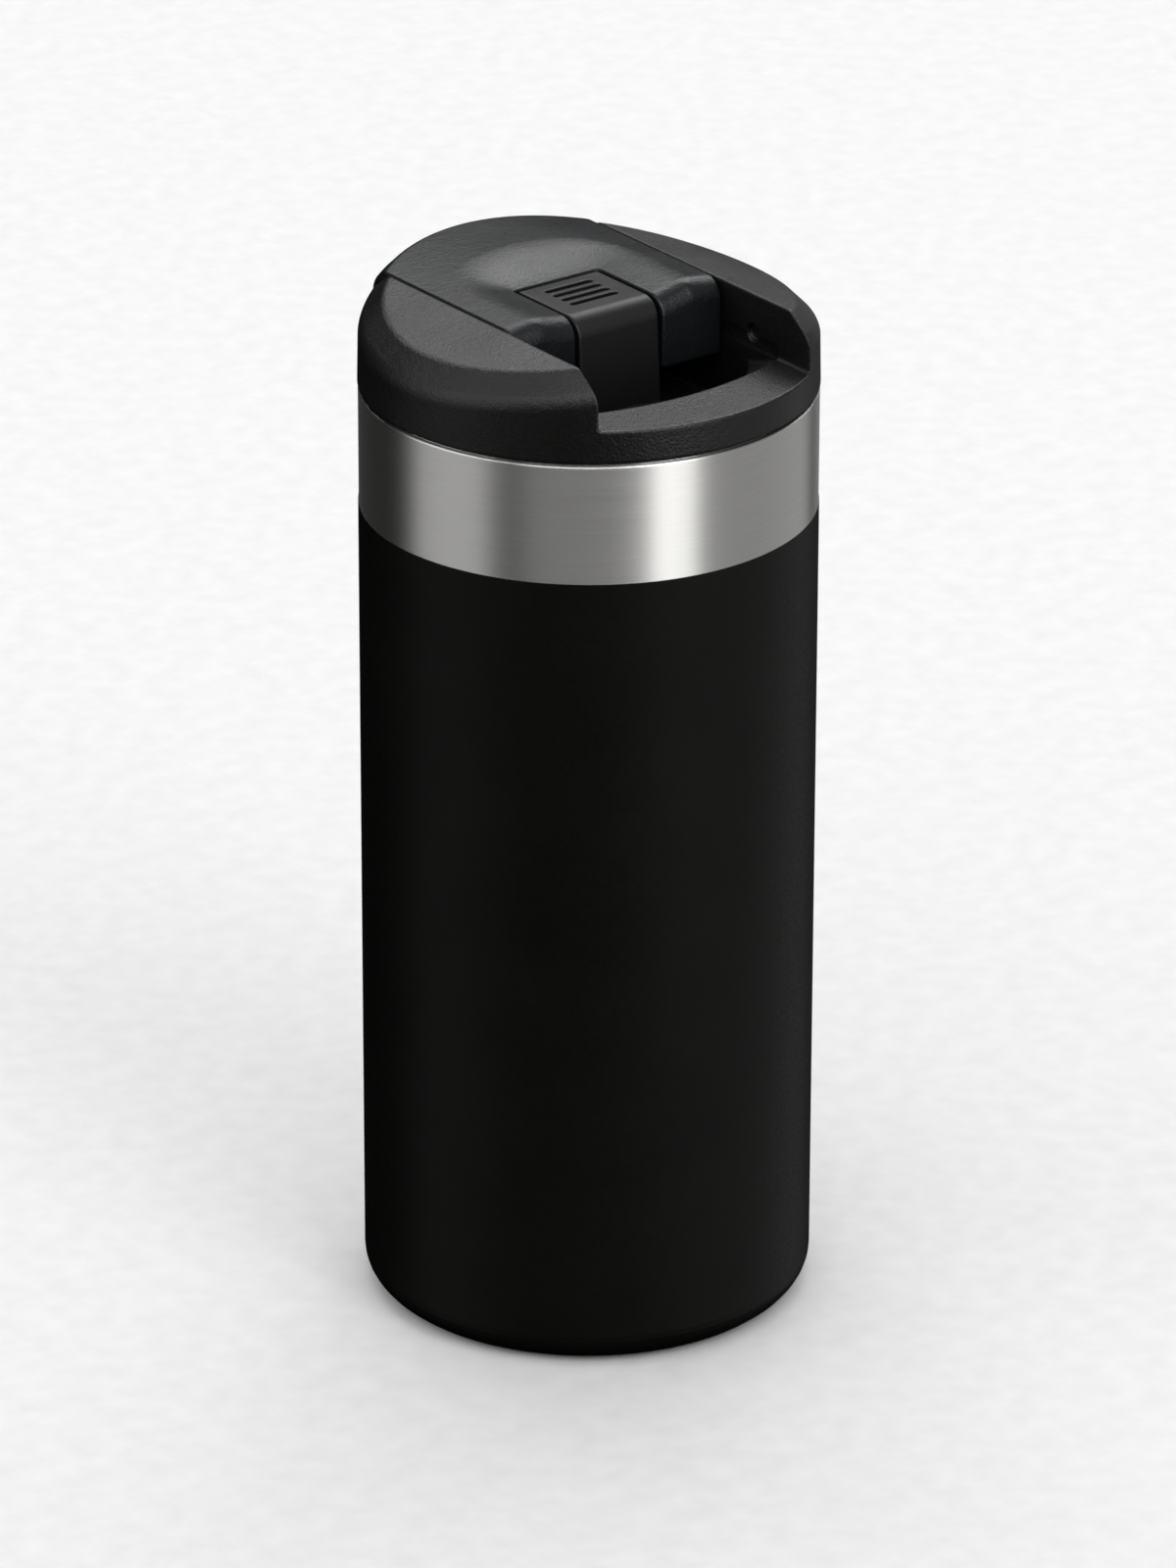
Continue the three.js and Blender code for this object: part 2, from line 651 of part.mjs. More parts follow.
function latchButton() {
  const faceTopY = -7.5;
  const faceFootY = -8.3;
  const nose = BUTTON_FOOT_Z + 1.3;
  const round = 3.3;
  const skin = 2;
  const shape = polygon([
    [faceFootY, BUTTON_FOOT_Z],
    [faceFootY + skin, BUTTON_FOOT_Z],
    [faceTopY + skin, BUTTON_TOP_Z - skin - 1],
    [faceTopY + skin + 1, BUTTON_TOP_Z - skin],
    [BUTTON_REAR_Y, BUTTON_TOP_Z - skin],
    [BUTTON_REAR_Y, BUTTON_TOP_Z - 0.4],
    [BUTTON_REAR_Y - 0.4, BUTTON_TOP_Z],
    ...arc([faceTopY + round, BUTTON_TOP_Z - round], round, 90, 177, 5),
  ]);
  const skinBody = sidePrism(shape, -BUTTON_HALF, BUTTON_HALF);
  const hook = sidePrism(
    polygon([[faceFootY + 0.5, BUTTON_FOOT_Z], [faceFootY - 0.3, BUTTON_FOOT_Z], [faceFootY - 1.1, nose - 0.6],
      [faceFootY - 1.1, nose], [faceFootY + 0.5, nose]]),
    -4,
    4,
  );
  const lug = block([4.8, BUTTON_HALF], [BUTTON_PIN_Y - 2.2, BUTTON_PIN_Y + 2.2],
    [BUTTON_PIN_Z, BUTTON_TOP_Z - skin + 0.5]);
  const lugs = bothSides(lug.add(crossBar(2.2, 4.8, BUTTON_HALF, BUTTON_PIN_Y, BUTTON_PIN_Z)));
  const bore = crossBar(BUTTON_PIN_R + RUNNING_GAP, -BUTTON_HALF - 1, BUTTON_HALF + 1, BUTTON_PIN_Y,
    BUTTON_PIN_Z);
  return cut(joined(skinBody, hook, lugs), bore);
}

const buttonPin = () => crossBar(BUTTON_PIN_R, -9.7, 9.7, BUTTON_PIN_Y, BUTTON_PIN_Z, 16);

function buttonSpringGeometry() {
  const low = PLATE_TOP_Z + 0.6;
  const high = BUTTON_TOP_Z - 2.6;
  return coil(2, 0.3, high - low, 5, 0).translate(0, -1.4, low);
}

// ---------------------------------------------------------------- materials and assembly

function material(color, roughness, metalness) {
  return new THREE.MeshStandardMaterial({ color, roughness, metalness });
}

const coatedSteel = material(0x1c1b19, 0.7, 0);
const bareSteel = material(0xb4b4b2, 0.35, 1);
const springSteel = material(0x9a9a98, 0.3, 1);
const lidPlastic = material(0x2b2b2a, 0.6, 0);
const coverPlastic = material(0x34383c, 0.55, 0);
const buttonPlastic = material(0x232322, 0.55, 0);
const silicone = material(0x55585a, 0.8, 0);
const ceramic = material(0x8d8a83, 0.7, 0);

const mug = new THREE.Group();
mug.name = 'travel_mug';

function place(name, geometry, look) {
  const mesh = new THREE.Mesh(geometry, look);
  mesh.name = name;
  mug.add(mesh);
}

const placeSolid = (name, body, look) => place(name, geometryOf(body), look);

placeSolid('outer_shell', outerShell(), coatedSteel);
placeSolid('base_pan', basePan(), bareSteel);
placeSolid('vacuum_seal', vacuumSeal(), ceramic);
placeSolid('base_cap', baseCap(), coatedSteel);
placeSolid('getter_cup', getterCup(), bareSteel);
placeSolid('getter', getter(), ceramic);
placeSolid('inner_vessel', innerVessel(), bareSteel);

placeSolid('lid_plug', lidPlug(), lidPlastic);
placeSolid('mouth_gasket', mouthGasket(), silicone);
placeSolid('lid_housing', lidHousing(), lidPlastic);
placeSolid('hinge_pin', hingePin(), springSteel);
placeSolid('hinge_spring_right', solid(hingeSpringGeometry()), springSteel);
placeSolid('hinge_spring_left', mirrored(solid(hingeSpringGeometry())), springSteel);

placeSolid('flip_cover', flipCover(), coverPlastic);
placeSolid('cover_plate', coverPlate(), lidPlastic);
placeSolid('cover_screw_right', coverScrew(), springSteel);
placeSolid('cover_screw_left', mirrored(coverScrew()), springSteel);
placeSolid('spout_seal', spoutSeal(), silicone);
placeSolid('vent_seal', ventSeal(), silicone);

placeSolid('latch_button', latchButton(), buttonPlastic);
placeSolid('button_pin', buttonPin(), springSteel);
placeSolid('button_spring', solid(buttonSpringGeometry()), springSteel);

export default mug;
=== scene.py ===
"""Looks of an insulated travel mug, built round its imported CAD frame."""

import json
import math

import bmesh
import bpy
import numpy as np
from mathutils import Matrix, Vector


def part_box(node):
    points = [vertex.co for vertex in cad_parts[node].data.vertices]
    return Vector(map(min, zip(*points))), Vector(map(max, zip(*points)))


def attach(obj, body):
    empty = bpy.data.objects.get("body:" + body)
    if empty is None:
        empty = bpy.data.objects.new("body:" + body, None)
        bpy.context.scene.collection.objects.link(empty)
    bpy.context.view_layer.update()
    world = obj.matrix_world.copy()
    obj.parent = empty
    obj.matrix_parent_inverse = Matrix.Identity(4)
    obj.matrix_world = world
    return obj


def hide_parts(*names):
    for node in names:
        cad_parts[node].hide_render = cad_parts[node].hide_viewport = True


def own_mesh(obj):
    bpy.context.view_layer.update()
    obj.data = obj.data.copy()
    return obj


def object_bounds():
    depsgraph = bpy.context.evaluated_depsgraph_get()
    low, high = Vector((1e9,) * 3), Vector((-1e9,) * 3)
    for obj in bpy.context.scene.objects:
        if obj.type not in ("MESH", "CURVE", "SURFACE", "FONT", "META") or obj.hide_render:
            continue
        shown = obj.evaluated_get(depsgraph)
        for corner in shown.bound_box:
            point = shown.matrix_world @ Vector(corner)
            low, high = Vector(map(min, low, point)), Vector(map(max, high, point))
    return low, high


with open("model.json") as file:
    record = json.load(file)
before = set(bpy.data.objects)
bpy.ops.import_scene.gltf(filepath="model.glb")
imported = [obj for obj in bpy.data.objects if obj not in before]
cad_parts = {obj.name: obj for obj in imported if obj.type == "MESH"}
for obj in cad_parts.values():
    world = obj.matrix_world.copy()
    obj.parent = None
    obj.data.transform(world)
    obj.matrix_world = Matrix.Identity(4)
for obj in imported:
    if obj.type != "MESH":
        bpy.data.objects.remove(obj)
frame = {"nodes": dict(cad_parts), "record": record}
CAD_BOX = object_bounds()
MM = 0.001  # shapes below are worked out in millimetres


def low(node):
    return [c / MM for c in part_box(node)[0]]


def high(node):
    return [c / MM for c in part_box(node)[1]]


def joint_place(name):
    joints = frame["record"]["behaviour"]["joints"]
    return [c / MM for c in next(j for j in joints if j["name"] == name)["pos_m"]]


# ------------------------------------------------------------------ sizes, from the frame where it has them
BODY_R = high("outer_shell")[0]
RIM_Z = high("outer_shell")[2]
FOOT_R = 27.8
FOOT_INNER_R = high("base_cap")[0] + 0.3
WALL = 0.8
COAT = 0.12
COAT_TOP_Z = 130.8

VESSEL_FLOOR_Z = low("inner_vessel")[2]
VESSEL_R = 31
NECK_R = 29.3
BEAD_R = 27.2
BEAD_Z = 134

THREAD_LEAD = 8
THREAD_TURNS = 0.8
THREAD_Z = 139.2
THREAD_HALF = 0.8
THREAD_DEPTH = 1.05

LID_Z = RIM_Z + 0.5
CROWN_Z = CAD_BOX[1][2] / MM
ARCH_R = 119
CROWN_EDGE_R = 0.35
SIDE_BLEND_R = 1.0
WING_CROWN_R = 31
TAIL_CROWN_R = 32.2
SIDE_DRAFT = 0.02
COVER_HALF = high("flip_cover")[0]
COVER_FRONT_Y = low("flip_cover")[1]
COVER_BOTTOM_Z = low("flip_cover")[2]
SLOT_HALF = COVER_HALF + 0.3
LIP_Z = 155.1
LIP_ARC_R = 52
LIP_ARC_Y = -24.4
WELL_Z = 144.4
DECK_BOTTOM_Z = low("lid_housing")[2]
WELL_REAR_Y = 14.6
DECK_Z = 151.9
COLLAR_Z = 149
SPOUT_Y = sum(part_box("spout_seal")[i][1] for i in (0, 1)) / 2 / MM
VENT_Y = sum(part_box("vent_seal")[i][1] for i in (0, 1)) / 2 / MM
SPOUT_R = 4.5
VENT_R = 1.2
SPOUT_COLLAR_R = 6.2
VENT_COLLAR_R = 2.4

HINGE_Y, HINGE_Z = joint_place("cover_flip")[1:]
BUTTON_PIN_Y, BUTTON_PIN_Z = joint_place("button_press")[1:]
PIN_HOLE_R = 1.32
ARM_ANGLE = math.radians(215)
TAIL_SWEEP_GAP = 0.7
TAIL_SWEEP_MIN_R = 4.4

PLUG_FLOOR_Z = low("lid_plug")[2]
PLUG_TOP_Z = high("lid_plug")[2]
PLUG_FLANGE_R = high("lid_plug")[0]
PLUG_R = 27.5
PLUG_INNER_R = 26

PLATE_Z = low("cover_plate")[2]
PLATE_TOP_Z = high("cover_plate")[2]
DISH_FLOOR_Z = 163.35
DISH_HALF = 17.2
DISH_REAR_Y = 18.3
DISH_WALL = 9.5
DISH_CORNER_R = 10
DISH_STEEPENING = 1.25  # above 1 the slope is gentle at the dish's floor and steeper at its rim
FRONT_EDGE_R = 3.3  # round at the top of the cover's front and of the button's face
NOTCH_HALF = 8.1
NOTCH_REAR_Y = 8.5
SCREW_X = (low("cover_screw_right")[0] + high("cover_screw_right")[0]) / 2
SCREW_Y = (low("cover_screw_right")[1] + high("cover_screw_right")[1]) / 2

BUTTON_HALF = high("latch_button")[0]
BUTTON_REAR_Y = high("latch_button")[1]
BUTTON_TOP_Z = high("latch_button")[2]
BUTTON_FOOT_Z = low("latch_button")[2]
HOOK_TOP_Z = BUTTON_FOOT_Z + 1.3
MARK_LINES_Y = (-1.2, 0.9, 3.0, 5.1)
MARK_HALF = 3.9
MARK_R = 0.5
MARK_DEPTH = 0.7
CATCH_Y = -10.4
CATCH_Z = BUTTON_FOOT_Z + 1.6
PIN_BORE_R = 1.07

COARSE, MEDIUM, FINE = ((0.4, 0.28, 0.18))


# ------------------------------------------------------------------ solids as distance fields
def both(a, b, r=0.0):
    """Where two solids overlap, with the edge rounded to radius r."""
    if r == 0:
        return np.maximum(a, b)
    rounding = np.hypot(np.maximum(a + r, 0), np.maximum(b + r, 0))
    return np.minimum(np.maximum(a, b), -r) + rounding


def either(a, b, r=0.0):
    """Two solids joined, with the inner corner filled to radius r."""
    return -both(-a, -b, r)


def without(a, b, r=0.0):
    """Solid a with b cut away, with the edge rounded to radius r."""
    return both(a, -b, r)


def slab(value, lowest, highest):
    return np.maximum(lowest - value, value - highest)


def disc(x, y, z, radius, lowest, highest, r=0.0):
    return both(np.hypot(x, y) - radius, slab(z, lowest, highest), r)


def bar_x(x, y, z, radius, left, right, r=0.0):
    return both(np.hypot(y, z) - radius, slab(x, left, right), r)


def lid_top(x, y, z, crown_r):
    """The lid's outer form: a drafted side, a soft blend, a 45 degree shoulder and an arched crown."""
    radius = np.hypot(x, y)
    edge_x = x * np.minimum(1, crown_r / np.maximum(radius, 0.01))
    crown = z - (CROWN_Z - ARCH_R + np.sqrt(ARCH_R**2 - edge_x**2))
    shoulder = (radius - crown_r + crown) * math.sqrt(0.5)
    side = radius - (BODY_R - SIDE_DRAFT * np.maximum(z - LID_Z, 0))
    return both(both(crown, shoulder, CROWN_EDGE_R), side, SIDE_BLEND_R)


def slot_space(x, y, z):
    """Space between the wings: over the lip, over the deck and round the hinge."""
    rear_z = HINGE_Z - 2.6
    over_lip = np.maximum(LIP_Z - z, y - HINGE_Y)
    over_deck = np.maximum(DECK_Z - z, slab(y, WELL_REAR_Y - 1, HINGE_Y))
    lid_r = BODY_R - 0.2
    reach = np.sqrt(lid_r**2 - np.minimum(np.abs(x), SLOT_HALF) ** 2) - HINGE_Y + TAIL_SWEEP_GAP
    sweep = np.hypot(y - HINGE_Y, z - HINGE_Z) - np.maximum(reach, TAIL_SWEEP_MIN_R)
    outline = np.minimum(np.minimum(over_lip, rear_z - z), np.minimum(over_deck, sweep))
    return both(outline, np.abs(x) - SLOT_HALF, 0.35)


def well_space(x, y, z):
    """The drinking well, behind the lip's arc."""
    arc = np.hypot(x, y - LIP_ARC_Y - LIP_ARC_R) - LIP_ARC_R
    plan = both(both(arc, np.abs(x) - SLOT_HALF, 0.2), y - WELL_REAR_Y, 0.8)
    throat_z = PLUG_TOP_Z + 1.9
    radius = np.hypot(x, y)
    funnel = radius - np.interp(z, [throat_z, LIP_Z], [24, 30])
    plan = both(plan, funnel * 0.8, 0.6)
    return both(plan, slab(z, WELL_Z, LIP_Z + 2), 0.7)


def hinge_arm(x, y, z):
    """Arm and eye that carry the hinge pin, on both sides."""
    across = np.abs(x)
    dy, dz = y - HINGE_Y, z - HINGE_Z
    along = dy * math.cos(ARM_ANGLE) + dz * math.sin(ARM_ANGLE)
    aside = dy * math.sin(ARM_ANGLE) - dz * math.cos(ARM_ANGLE)
    bar = both(np.abs(aside) - 1.4, slab(along, 0, 14), 0.3)
    shape = either(bar, np.hypot(dy, dz) - 2.4, 0.8)
    under_well = np.maximum(y - WELL_REAR_Y, z - (DECK_Z - 1.5))
    return both(without(shape, under_well), slab(across, 7.4, 10.4), 0.25)


def catch_ledge(x, y, z):
    front_y = CATCH_Y - 2.6
    top = CATCH_Z + 1.2
    post = np.maximum(slab(y, front_y, front_y + 1.4), slab(z, WELL_Z - 0.5, top))
    nose = np.maximum(slab(y, front_y, CATCH_Y), slab(z, CATCH_Z, top))
    nose = both(nose, (z - top + y - CATCH_Y + 0.7) * math.sqrt(0.5))
    return both(np.minimum(post, nose), np.abs(x) - 4.5, 0.25)


def wing_hollows(x, y, z):
    radius = np.hypot(x, y)
    outer = radius - np.interp(z, [154.5, 158], [32.8, 29.8])
    ring = both(outer, 27 - radius, 0.5)
    return both(both(ring, SLOT_HALF + 1.8 - np.abs(x), 0.5), np.maximum(z - 158, np.abs(y) - 25), 0.5)


def housing(x, y, z):
    radius = np.hypot(x, y)
    body = both(lid_top(x, y, z, WING_CROWN_R), LID_Z - z, 0.25)
    recess_z = PLUG_TOP_Z + 0.3
    body = without(body, np.maximum(radius - PLUG_FLANGE_R - 0.3, z - recess_z), 0.1)
    boss = disc(x, y, z, PLUG_INNER_R - 0.3, DECK_BOTTOM_Z, recess_z + 1, 0.3)
    body = np.minimum(body, boss)
    body = without(body, slot_space(x, y, z), 0.25)
    body = without(body, well_space(x, y, z), 0.5)
    body = without(body, wing_hollows(x, y, z), 0.1)
    spout = disc(x, y - SPOUT_Y, z, SPOUT_COLLAR_R, WELL_Z - 1, COLLAR_Z, 0.3)
    vent = disc(x, y - VENT_Y, z, VENT_COLLAR_R, WELL_Z - 1, COLLAR_Z, 0.3)
    body = either(body, np.minimum(spout, vent), 0.5)
    body = either(body, hinge_arm(x, y, z), 0.6)
    body = either(body, catch_ledge(x, y, z), 0.3)
    body = without(body, np.hypot(x, y - SPOUT_Y) - SPOUT_R, 0.4)
    body = without(body, np.hypot(x, y - VENT_Y) - VENT_R, 0.3)
    body = without(body, bar_x(x, y - HINGE_Y, z - HINGE_Z, PIN_HOLE_R, -COVER_HALF, COVER_HALF), 0.1)
    dimple = bar_x(np.abs(x), y + 14.7, z - 157.4, 1.3, SLOT_HALF - 1, SLOT_HALF + 0.8, 0.3)
    return without(body, dimple, 0.15)


def dish_height(x, y):
    """Height of the shallow dish sunk round the button: open to the front, round at its rear corners."""
    beside = np.abs(x) - (DISH_HALF - DISH_CORNER_R)
    behind = y - (DISH_REAR_Y - DISH_CORNER_R)
    outside = np.hypot(np.maximum(beside, 0), np.maximum(behind, 0))
    rim = outside + np.minimum(np.maximum(beside, behind), 0) - DISH_CORNER_R
    climb = np.clip(1 + rim / DISH_WALL, 0, 3)
    return DISH_FLOOR_Z + (CROWN_Z - DISH_FLOOR_Z) * climb**DISH_STEEPENING


def cover_hollow(x, y, z):
    half = COVER_HALF - 2
    front_y = COVER_FRONT_Y + 2.2
    front = both(both(np.abs(x) - half, slab(y, front_y, 22), 1), z - 161.2, 0.8)
    rib = np.maximum(np.abs(x) - NOTCH_HALF - 1.9, y - NOTCH_REAR_Y - 1.9)
    front = without(front, np.maximum(rib, PLATE_TOP_Z + 0.3 - z), 0.3)
    rear = both(both(np.abs(x) - half, 20.5 - y, 0.5), np.hypot(x, y) - 33, 0.8)
    return np.minimum(front, both(rear, z - 163.1, 0.8))


def cover(x, y, z):
    top = both(lid_top(x, y, z, TAIL_CROWN_R), z - dish_height(x, y), 0.6)
    body = both(top, COVER_FRONT_Y - y, FRONT_EDGE_R)
    bottom = np.interp(
        y,
        [20.5, 23.5, HINGE_Y, HINGE_Y + 5],
        [COVER_BOTTOM_Z, HINGE_Z - 3.8, HINGE_Z - 3, HINGE_Z - 2.2],
    )
    body = both(body, (bottom - z) * 0.8, 0.4)
    body = both(body, np.abs(x) - COVER_HALF, 0.4)
    body = without(body, cover_hollow(x, y, z), 0.2)
    screws = (np.abs(x) - SCREW_X, y - SCREW_Y, z)
    body = either(body, disc(*screws, 2.6, PLATE_TOP_Z + 0.3, 162, 0.2), 0.4)
    notch = both(np.abs(x) - NOTCH_HALF, y - NOTCH_REAR_Y, 0.7)
    body = without(body, notch, 0.3)
    body = without(body, disc(*screws, 1.15, PLATE_Z, 159.5), 0.1)
    hinge = bar_x(x, y - HINGE_Y, z - HINGE_Z, PIN_HOLE_R, -BODY_R, BODY_R)
    pin = bar_x(x, y - BUTTON_PIN_Y, z - BUTTON_PIN_Z, PIN_BORE_R, -9.9, 9.9)
    return without(body, np.minimum(hinge, pin), 0.1)


def grip_marks(x, y, z):
    """Four grooves across the top of the button."""
    across = np.maximum(np.abs(x) - MARK_HALF, 0)
    grooves = [np.hypot(across, y - line) - MARK_R for line in MARK_LINES_Y]
    return both(np.minimum.reduce(grooves), BUTTON_TOP_Z - MARK_DEPTH - z, 0.1)


def button(x, y, z):
    face_y = np.interp(z, [BUTTON_FOOT_Z, 160], [-8.3, -7.5])
    shape = both(z - BUTTON_TOP_Z, face_y - y, FRONT_EDGE_R)
    shape = both(shape, np.maximum(y - BUTTON_REAR_Y, BUTTON_FOOT_Z - z), 0.35)
    shape = both(shape, np.abs(x) - BUTTON_HALF, 0.35)
    shape = without(shape, both(z - (BUTTON_TOP_Z - 2), face_y + 2 - y, 1), 0.2)
    hook_y = np.interp(z, [BUTTON_FOOT_Z, HOOK_TOP_Z - 0.6], [-8.6, -9.4])
    hook = both(both(hook_y - y, y + 7.8, 0.1), slab(z, BUTTON_FOOT_Z, HOOK_TOP_Z), 0.2)
    shape = either(shape, both(hook, np.abs(x) - 4, 0.2), 0.2)
    dy, dz = y - BUTTON_PIN_Y, z - BUTTON_PIN_Z
    lug = np.minimum(np.hypot(dy, dz) - 2.2, np.maximum(np.abs(dy) - 2.2, slab(dz, 0, 3.2)))
    shape = either(shape, both(lug, slab(np.abs(x), 4.8, BUTTON_HALF), 0.2), 0.4)
    shape = without(shape, np.hypot(dy, dz) - PIN_BORE_R, 0.1)
    return without(shape, grip_marks(x, y, z), 0.12)


def ridge(x, y, z, first_angle):
    """Height of a two-start thread ridge over its root, fading out at both ends."""
    angle = np.mod(np.arctan2(y, x) - first_angle, np.pi)
    rise = THREAD_LEAD / (2 * np.pi)
    height = np.zeros(np.broadcast(x, y, z).shape)
    for half_turn in range(2):
        turned = angle + half_turn * np.pi
        off = np.abs(z - THREAD_Z - rise * turned)
        section = np.clip((THREAD_HALF - off) / 0.5 + 0.5, 0, 1)
        section = section * section * (3 - 2 * section)
        share = turned / (2 * np.pi * THREAD_TURNS)
        fade = np.clip(12 * np.minimum(share, 1 - share) + 0.1, 0, 1)
        fade = np.where((share > 0) & (share < 1), fade, 0)
        height = np.maximum(height, section * fade * THREAD_DEPTH)
    return height


def plug(x, y, z):
    radius = np.hypot(x, y)
    wall_r = 25.7
    core = both(radius - PLUG_R, slab(z, PLUG_FLOOR_Z + 2.6, PLUG_TOP_Z), 0.4)
    thread = radius - PLUG_R - ridge(x, y, z, math.pi / 2)
    core = np.minimum(core, np.maximum(thread * 0.7, slab(z, 138.6, 148)))
    foot = both(radius - wall_r, slab(z, PLUG_FLOOR_Z, PLUG_FLOOR_Z + 4), 0.3)
    keeper = disc(x, y, z, wall_r + 0.9, PLUG_FLOOR_Z, PLUG_FLOOR_Z + 0.5, 0.2)
    flange = disc(x, y, z, PLUG_FLANGE_R, RIM_Z + 0.3, PLUG_TOP_Z, 0.25)
    body = np.minimum(np.minimum(either(core, flange, 0.4), foot), keeper)
    inner_r = np.interp(z, [PLUG_FLOOR_Z + 3.6, PLUG_FLOOR_Z + 4], [24.2, PLUG_INNER_R])
    body = without(body, both((radius - inner_r) * 0.7, PLUG_FLOOR_Z + 1.6 - z, 0.6), 0.2)
    tube_top = WELL_Z - 2.1
    spout = disc(x, y - SPOUT_Y, z, SPOUT_COLLAR_R, PLUG_FLOOR_Z + 1, tube_top, 0.3)
    vent = disc(x, y - VENT_Y, z, VENT_COLLAR_R, PLUG_FLOOR_Z + 1, tube_top, 0.3)
    body = either(body, np.minimum(spout, vent), 0.4)
    body = without(body, np.hypot(x, y - SPOUT_Y) - SPOUT_R, 0.5)
    return without(body, np.hypot(x, y - VENT_Y) - VENT_R, 0.3)


def plate(x, y, z):
    """Plate under the cover, ribbed on its lower face, with rounded corners."""
    half = COVER_HALF - 2.3
    plan = both(np.abs(x) - half, slab(y, low("cover_plate")[1], high("cover_plate")[1]), 1.5)
    plan = without(plan, both(np.abs(x) - NOTCH_HALF, y + 4, 0.5), 0.3)
    body = both(plan, slab(z, PLATE_Z, PLATE_TOP_Z), 0.3)
    body = without(body, np.hypot(np.abs(x) - SCREW_X, y - SCREW_Y) - 1.4, 0.2)
    groove = np.abs(both(np.abs(x) - half + 1.4, slab(y, -3.2, 12), 1.5)) - 0.35
    return without(body, np.maximum(groove, z - PLATE_Z - 0.4), 0.15)


def screw(x, y, z):
    """Pan-head screw, head down, with a cross recess."""
    dx, dy = x - SCREW_X, y - SCREW_Y
    head = disc(dx, dy, z, 2.1, 151, PLATE_Z - 0.2, 0.5)
    turns = np.arctan2(dy, dx) / (2 * np.pi)
    root = 0.72 + 0.18 * np.abs(2 * np.mod((z - 153) / 0.8 - turns, 1) - 1)
    shank = both(np.hypot(dx, dy) - root, slab(z, 151.5, 159.2), 0.3)
    along_y = np.maximum(np.abs(dx) - 0.28, np.abs(dy) - 1.15)
    along_x = np.maximum(np.abs(dy) - 0.28, np.abs(dx) - 1.15)
    cross = np.minimum(along_y, along_x)
    body = np.minimum(head, shank)
    return without(body, np.maximum(cross, z - 151.7), 0.1)


# ------------------------------------------------------------------ meshes
def field_mesh(field, lowest, highest, step):
    """Points and quads on a field's zero surface: surface nets, with the points then settled on it."""
    axes = [np.arange(a - 1.5 * step, b + 2.5 * step, step) for a, b in zip(lowest, highest)]
    grid = np.meshgrid(*axes, indexing="ij", sparse=True)
    value = np.broadcast_to(field(*grid), [len(a) for a in axes])
    inside = value < 0
    cells = [n - 1 for n in inside.shape]
    count = np.zeros(cells, np.int8)
    corners = [(i, j, k) for i in (0, 1) for j in (0, 1) for k in (0, 1)]
    for i, j, k in corners:
        count += inside[i : i + cells[0], j : j + cells[1], k : k + cells[2]]
    active = (count > 0) & (count < 8)
    where = np.argwhere(active)
    number = np.full(cells, -1)
    number[active] = np.arange(len(where))

    total = np.zeros((len(where), 3))
    hits = np.zeros(len(where))
    for corner in corners:
        for axis in range(3):
            if corner[axis]:
                continue
            start = where + corner
            end = start + np.eye(3, dtype=int)[axis]
            a = value[tuple(start.T)]
            b = value[tuple(end.T)]
            crossed = (a < 0) != (b < 0)
            share = np.where(crossed, a / np.where(crossed, a - b, 1), 0)
            place = start.astype(float)
            place[:, axis] += share
            total += place * crossed[:, None]
            hits += crossed
    origin = np.array([a[0] for a in axes])
    points = origin + step * total / hits[:, None]

    quads = []
    for axis in range(3):
        u, v = (axis + 1) % 3, (axis + 2) % 3
        near = [slice(1, -1)] * 3
        far = [slice(1, -1)] * 3
        near[axis], far[axis] = slice(0, -1), slice(1, None)
        leaving = inside[tuple(near)] & ~inside[tuple(far)]
        entering = ~inside[tuple(near)] & inside[tuple(far)]
        for change, order in ((leaving, (0, 1, 2, 3)), (entering, (3, 2, 1, 0))):
            edge = np.argwhere(change)
            edge[:, u] += 1
            edge[:, v] += 1
            around = []
            for du, dv in ((-1, -1), (0, -1), (0, 0), (-1, 0)):
                cell = edge.copy()
                cell[:, u] += du
                cell[:, v] += dv
                around.append(number[tuple(cell.T)])
            quads.append(np.stack([around[i] for i in order], axis=1))
    return settle(field, points, step), np.concatenate(quads)


def settle(field, points, step):
    """Moves points onto the field's zero surface along its slope, by at most one grid step."""
    start = points.copy()
    delta = 0.02
    for _ in range(4):
        value = field(*points.T)
        slope = np.zeros_like(points)
        for axis in range(3):
            shift = np.zeros(3)
            shift[axis] = delta
            slope[:, axis] = field(*(points + shift).T) - field(*(points - shift).T)
        slope /= 2 * delta
        size = np.maximum((slope**2).sum(axis=1), 0.2)
        points = points - 0.9 * (value / size)[:, None] * slope
        points = start + np.clip(points - start, -step, step)
    return points


def mesh_piece(name, points, faces, body, material, replaced=()):
    """A mesh object from points in millimetres and faces of one length, riding on a body."""
    mesh = bpy.data.meshes.new(name)
    sides = faces.shape[1]
    mesh.vertices.add(len(points))
    mesh.vertices.foreach_set("co", (points * MM).astype(np.float32).ravel())
    mesh.loops.add(faces.size)
    mesh.loops.foreach_set("vertex_index", faces.astype(np.int32).ravel())
    mesh.polygons.add(len(faces))
    mesh.polygons.foreach_set("loop_start", np.arange(0, faces.size, sides, dtype=np.int32))
    mesh.polygons.foreach_set("use_smooth", np.ones(len(faces), bool))
    mesh.update(calc_edges=True)
    mesh.validate()
    piece = bpy.data.objects.new(name, mesh)
    bpy.context.scene.collection.objects.link(piece)
    mesh.materials.append(material)
    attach(piece, body)
    if replaced:
        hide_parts(*replaced)
    return piece


def field_piece(name, field, box, step, body, material, replaced):
    lowest, highest = box
    points, quads = field_mesh(field, lowest, highest, step)
    limits = np.array([CAD_BOX[0], CAD_BOX[1]]) / MM
    points = np.clip(points, limits[0], limits[1])
    return mesh_piece(name, points, quads, body, material, replaced)


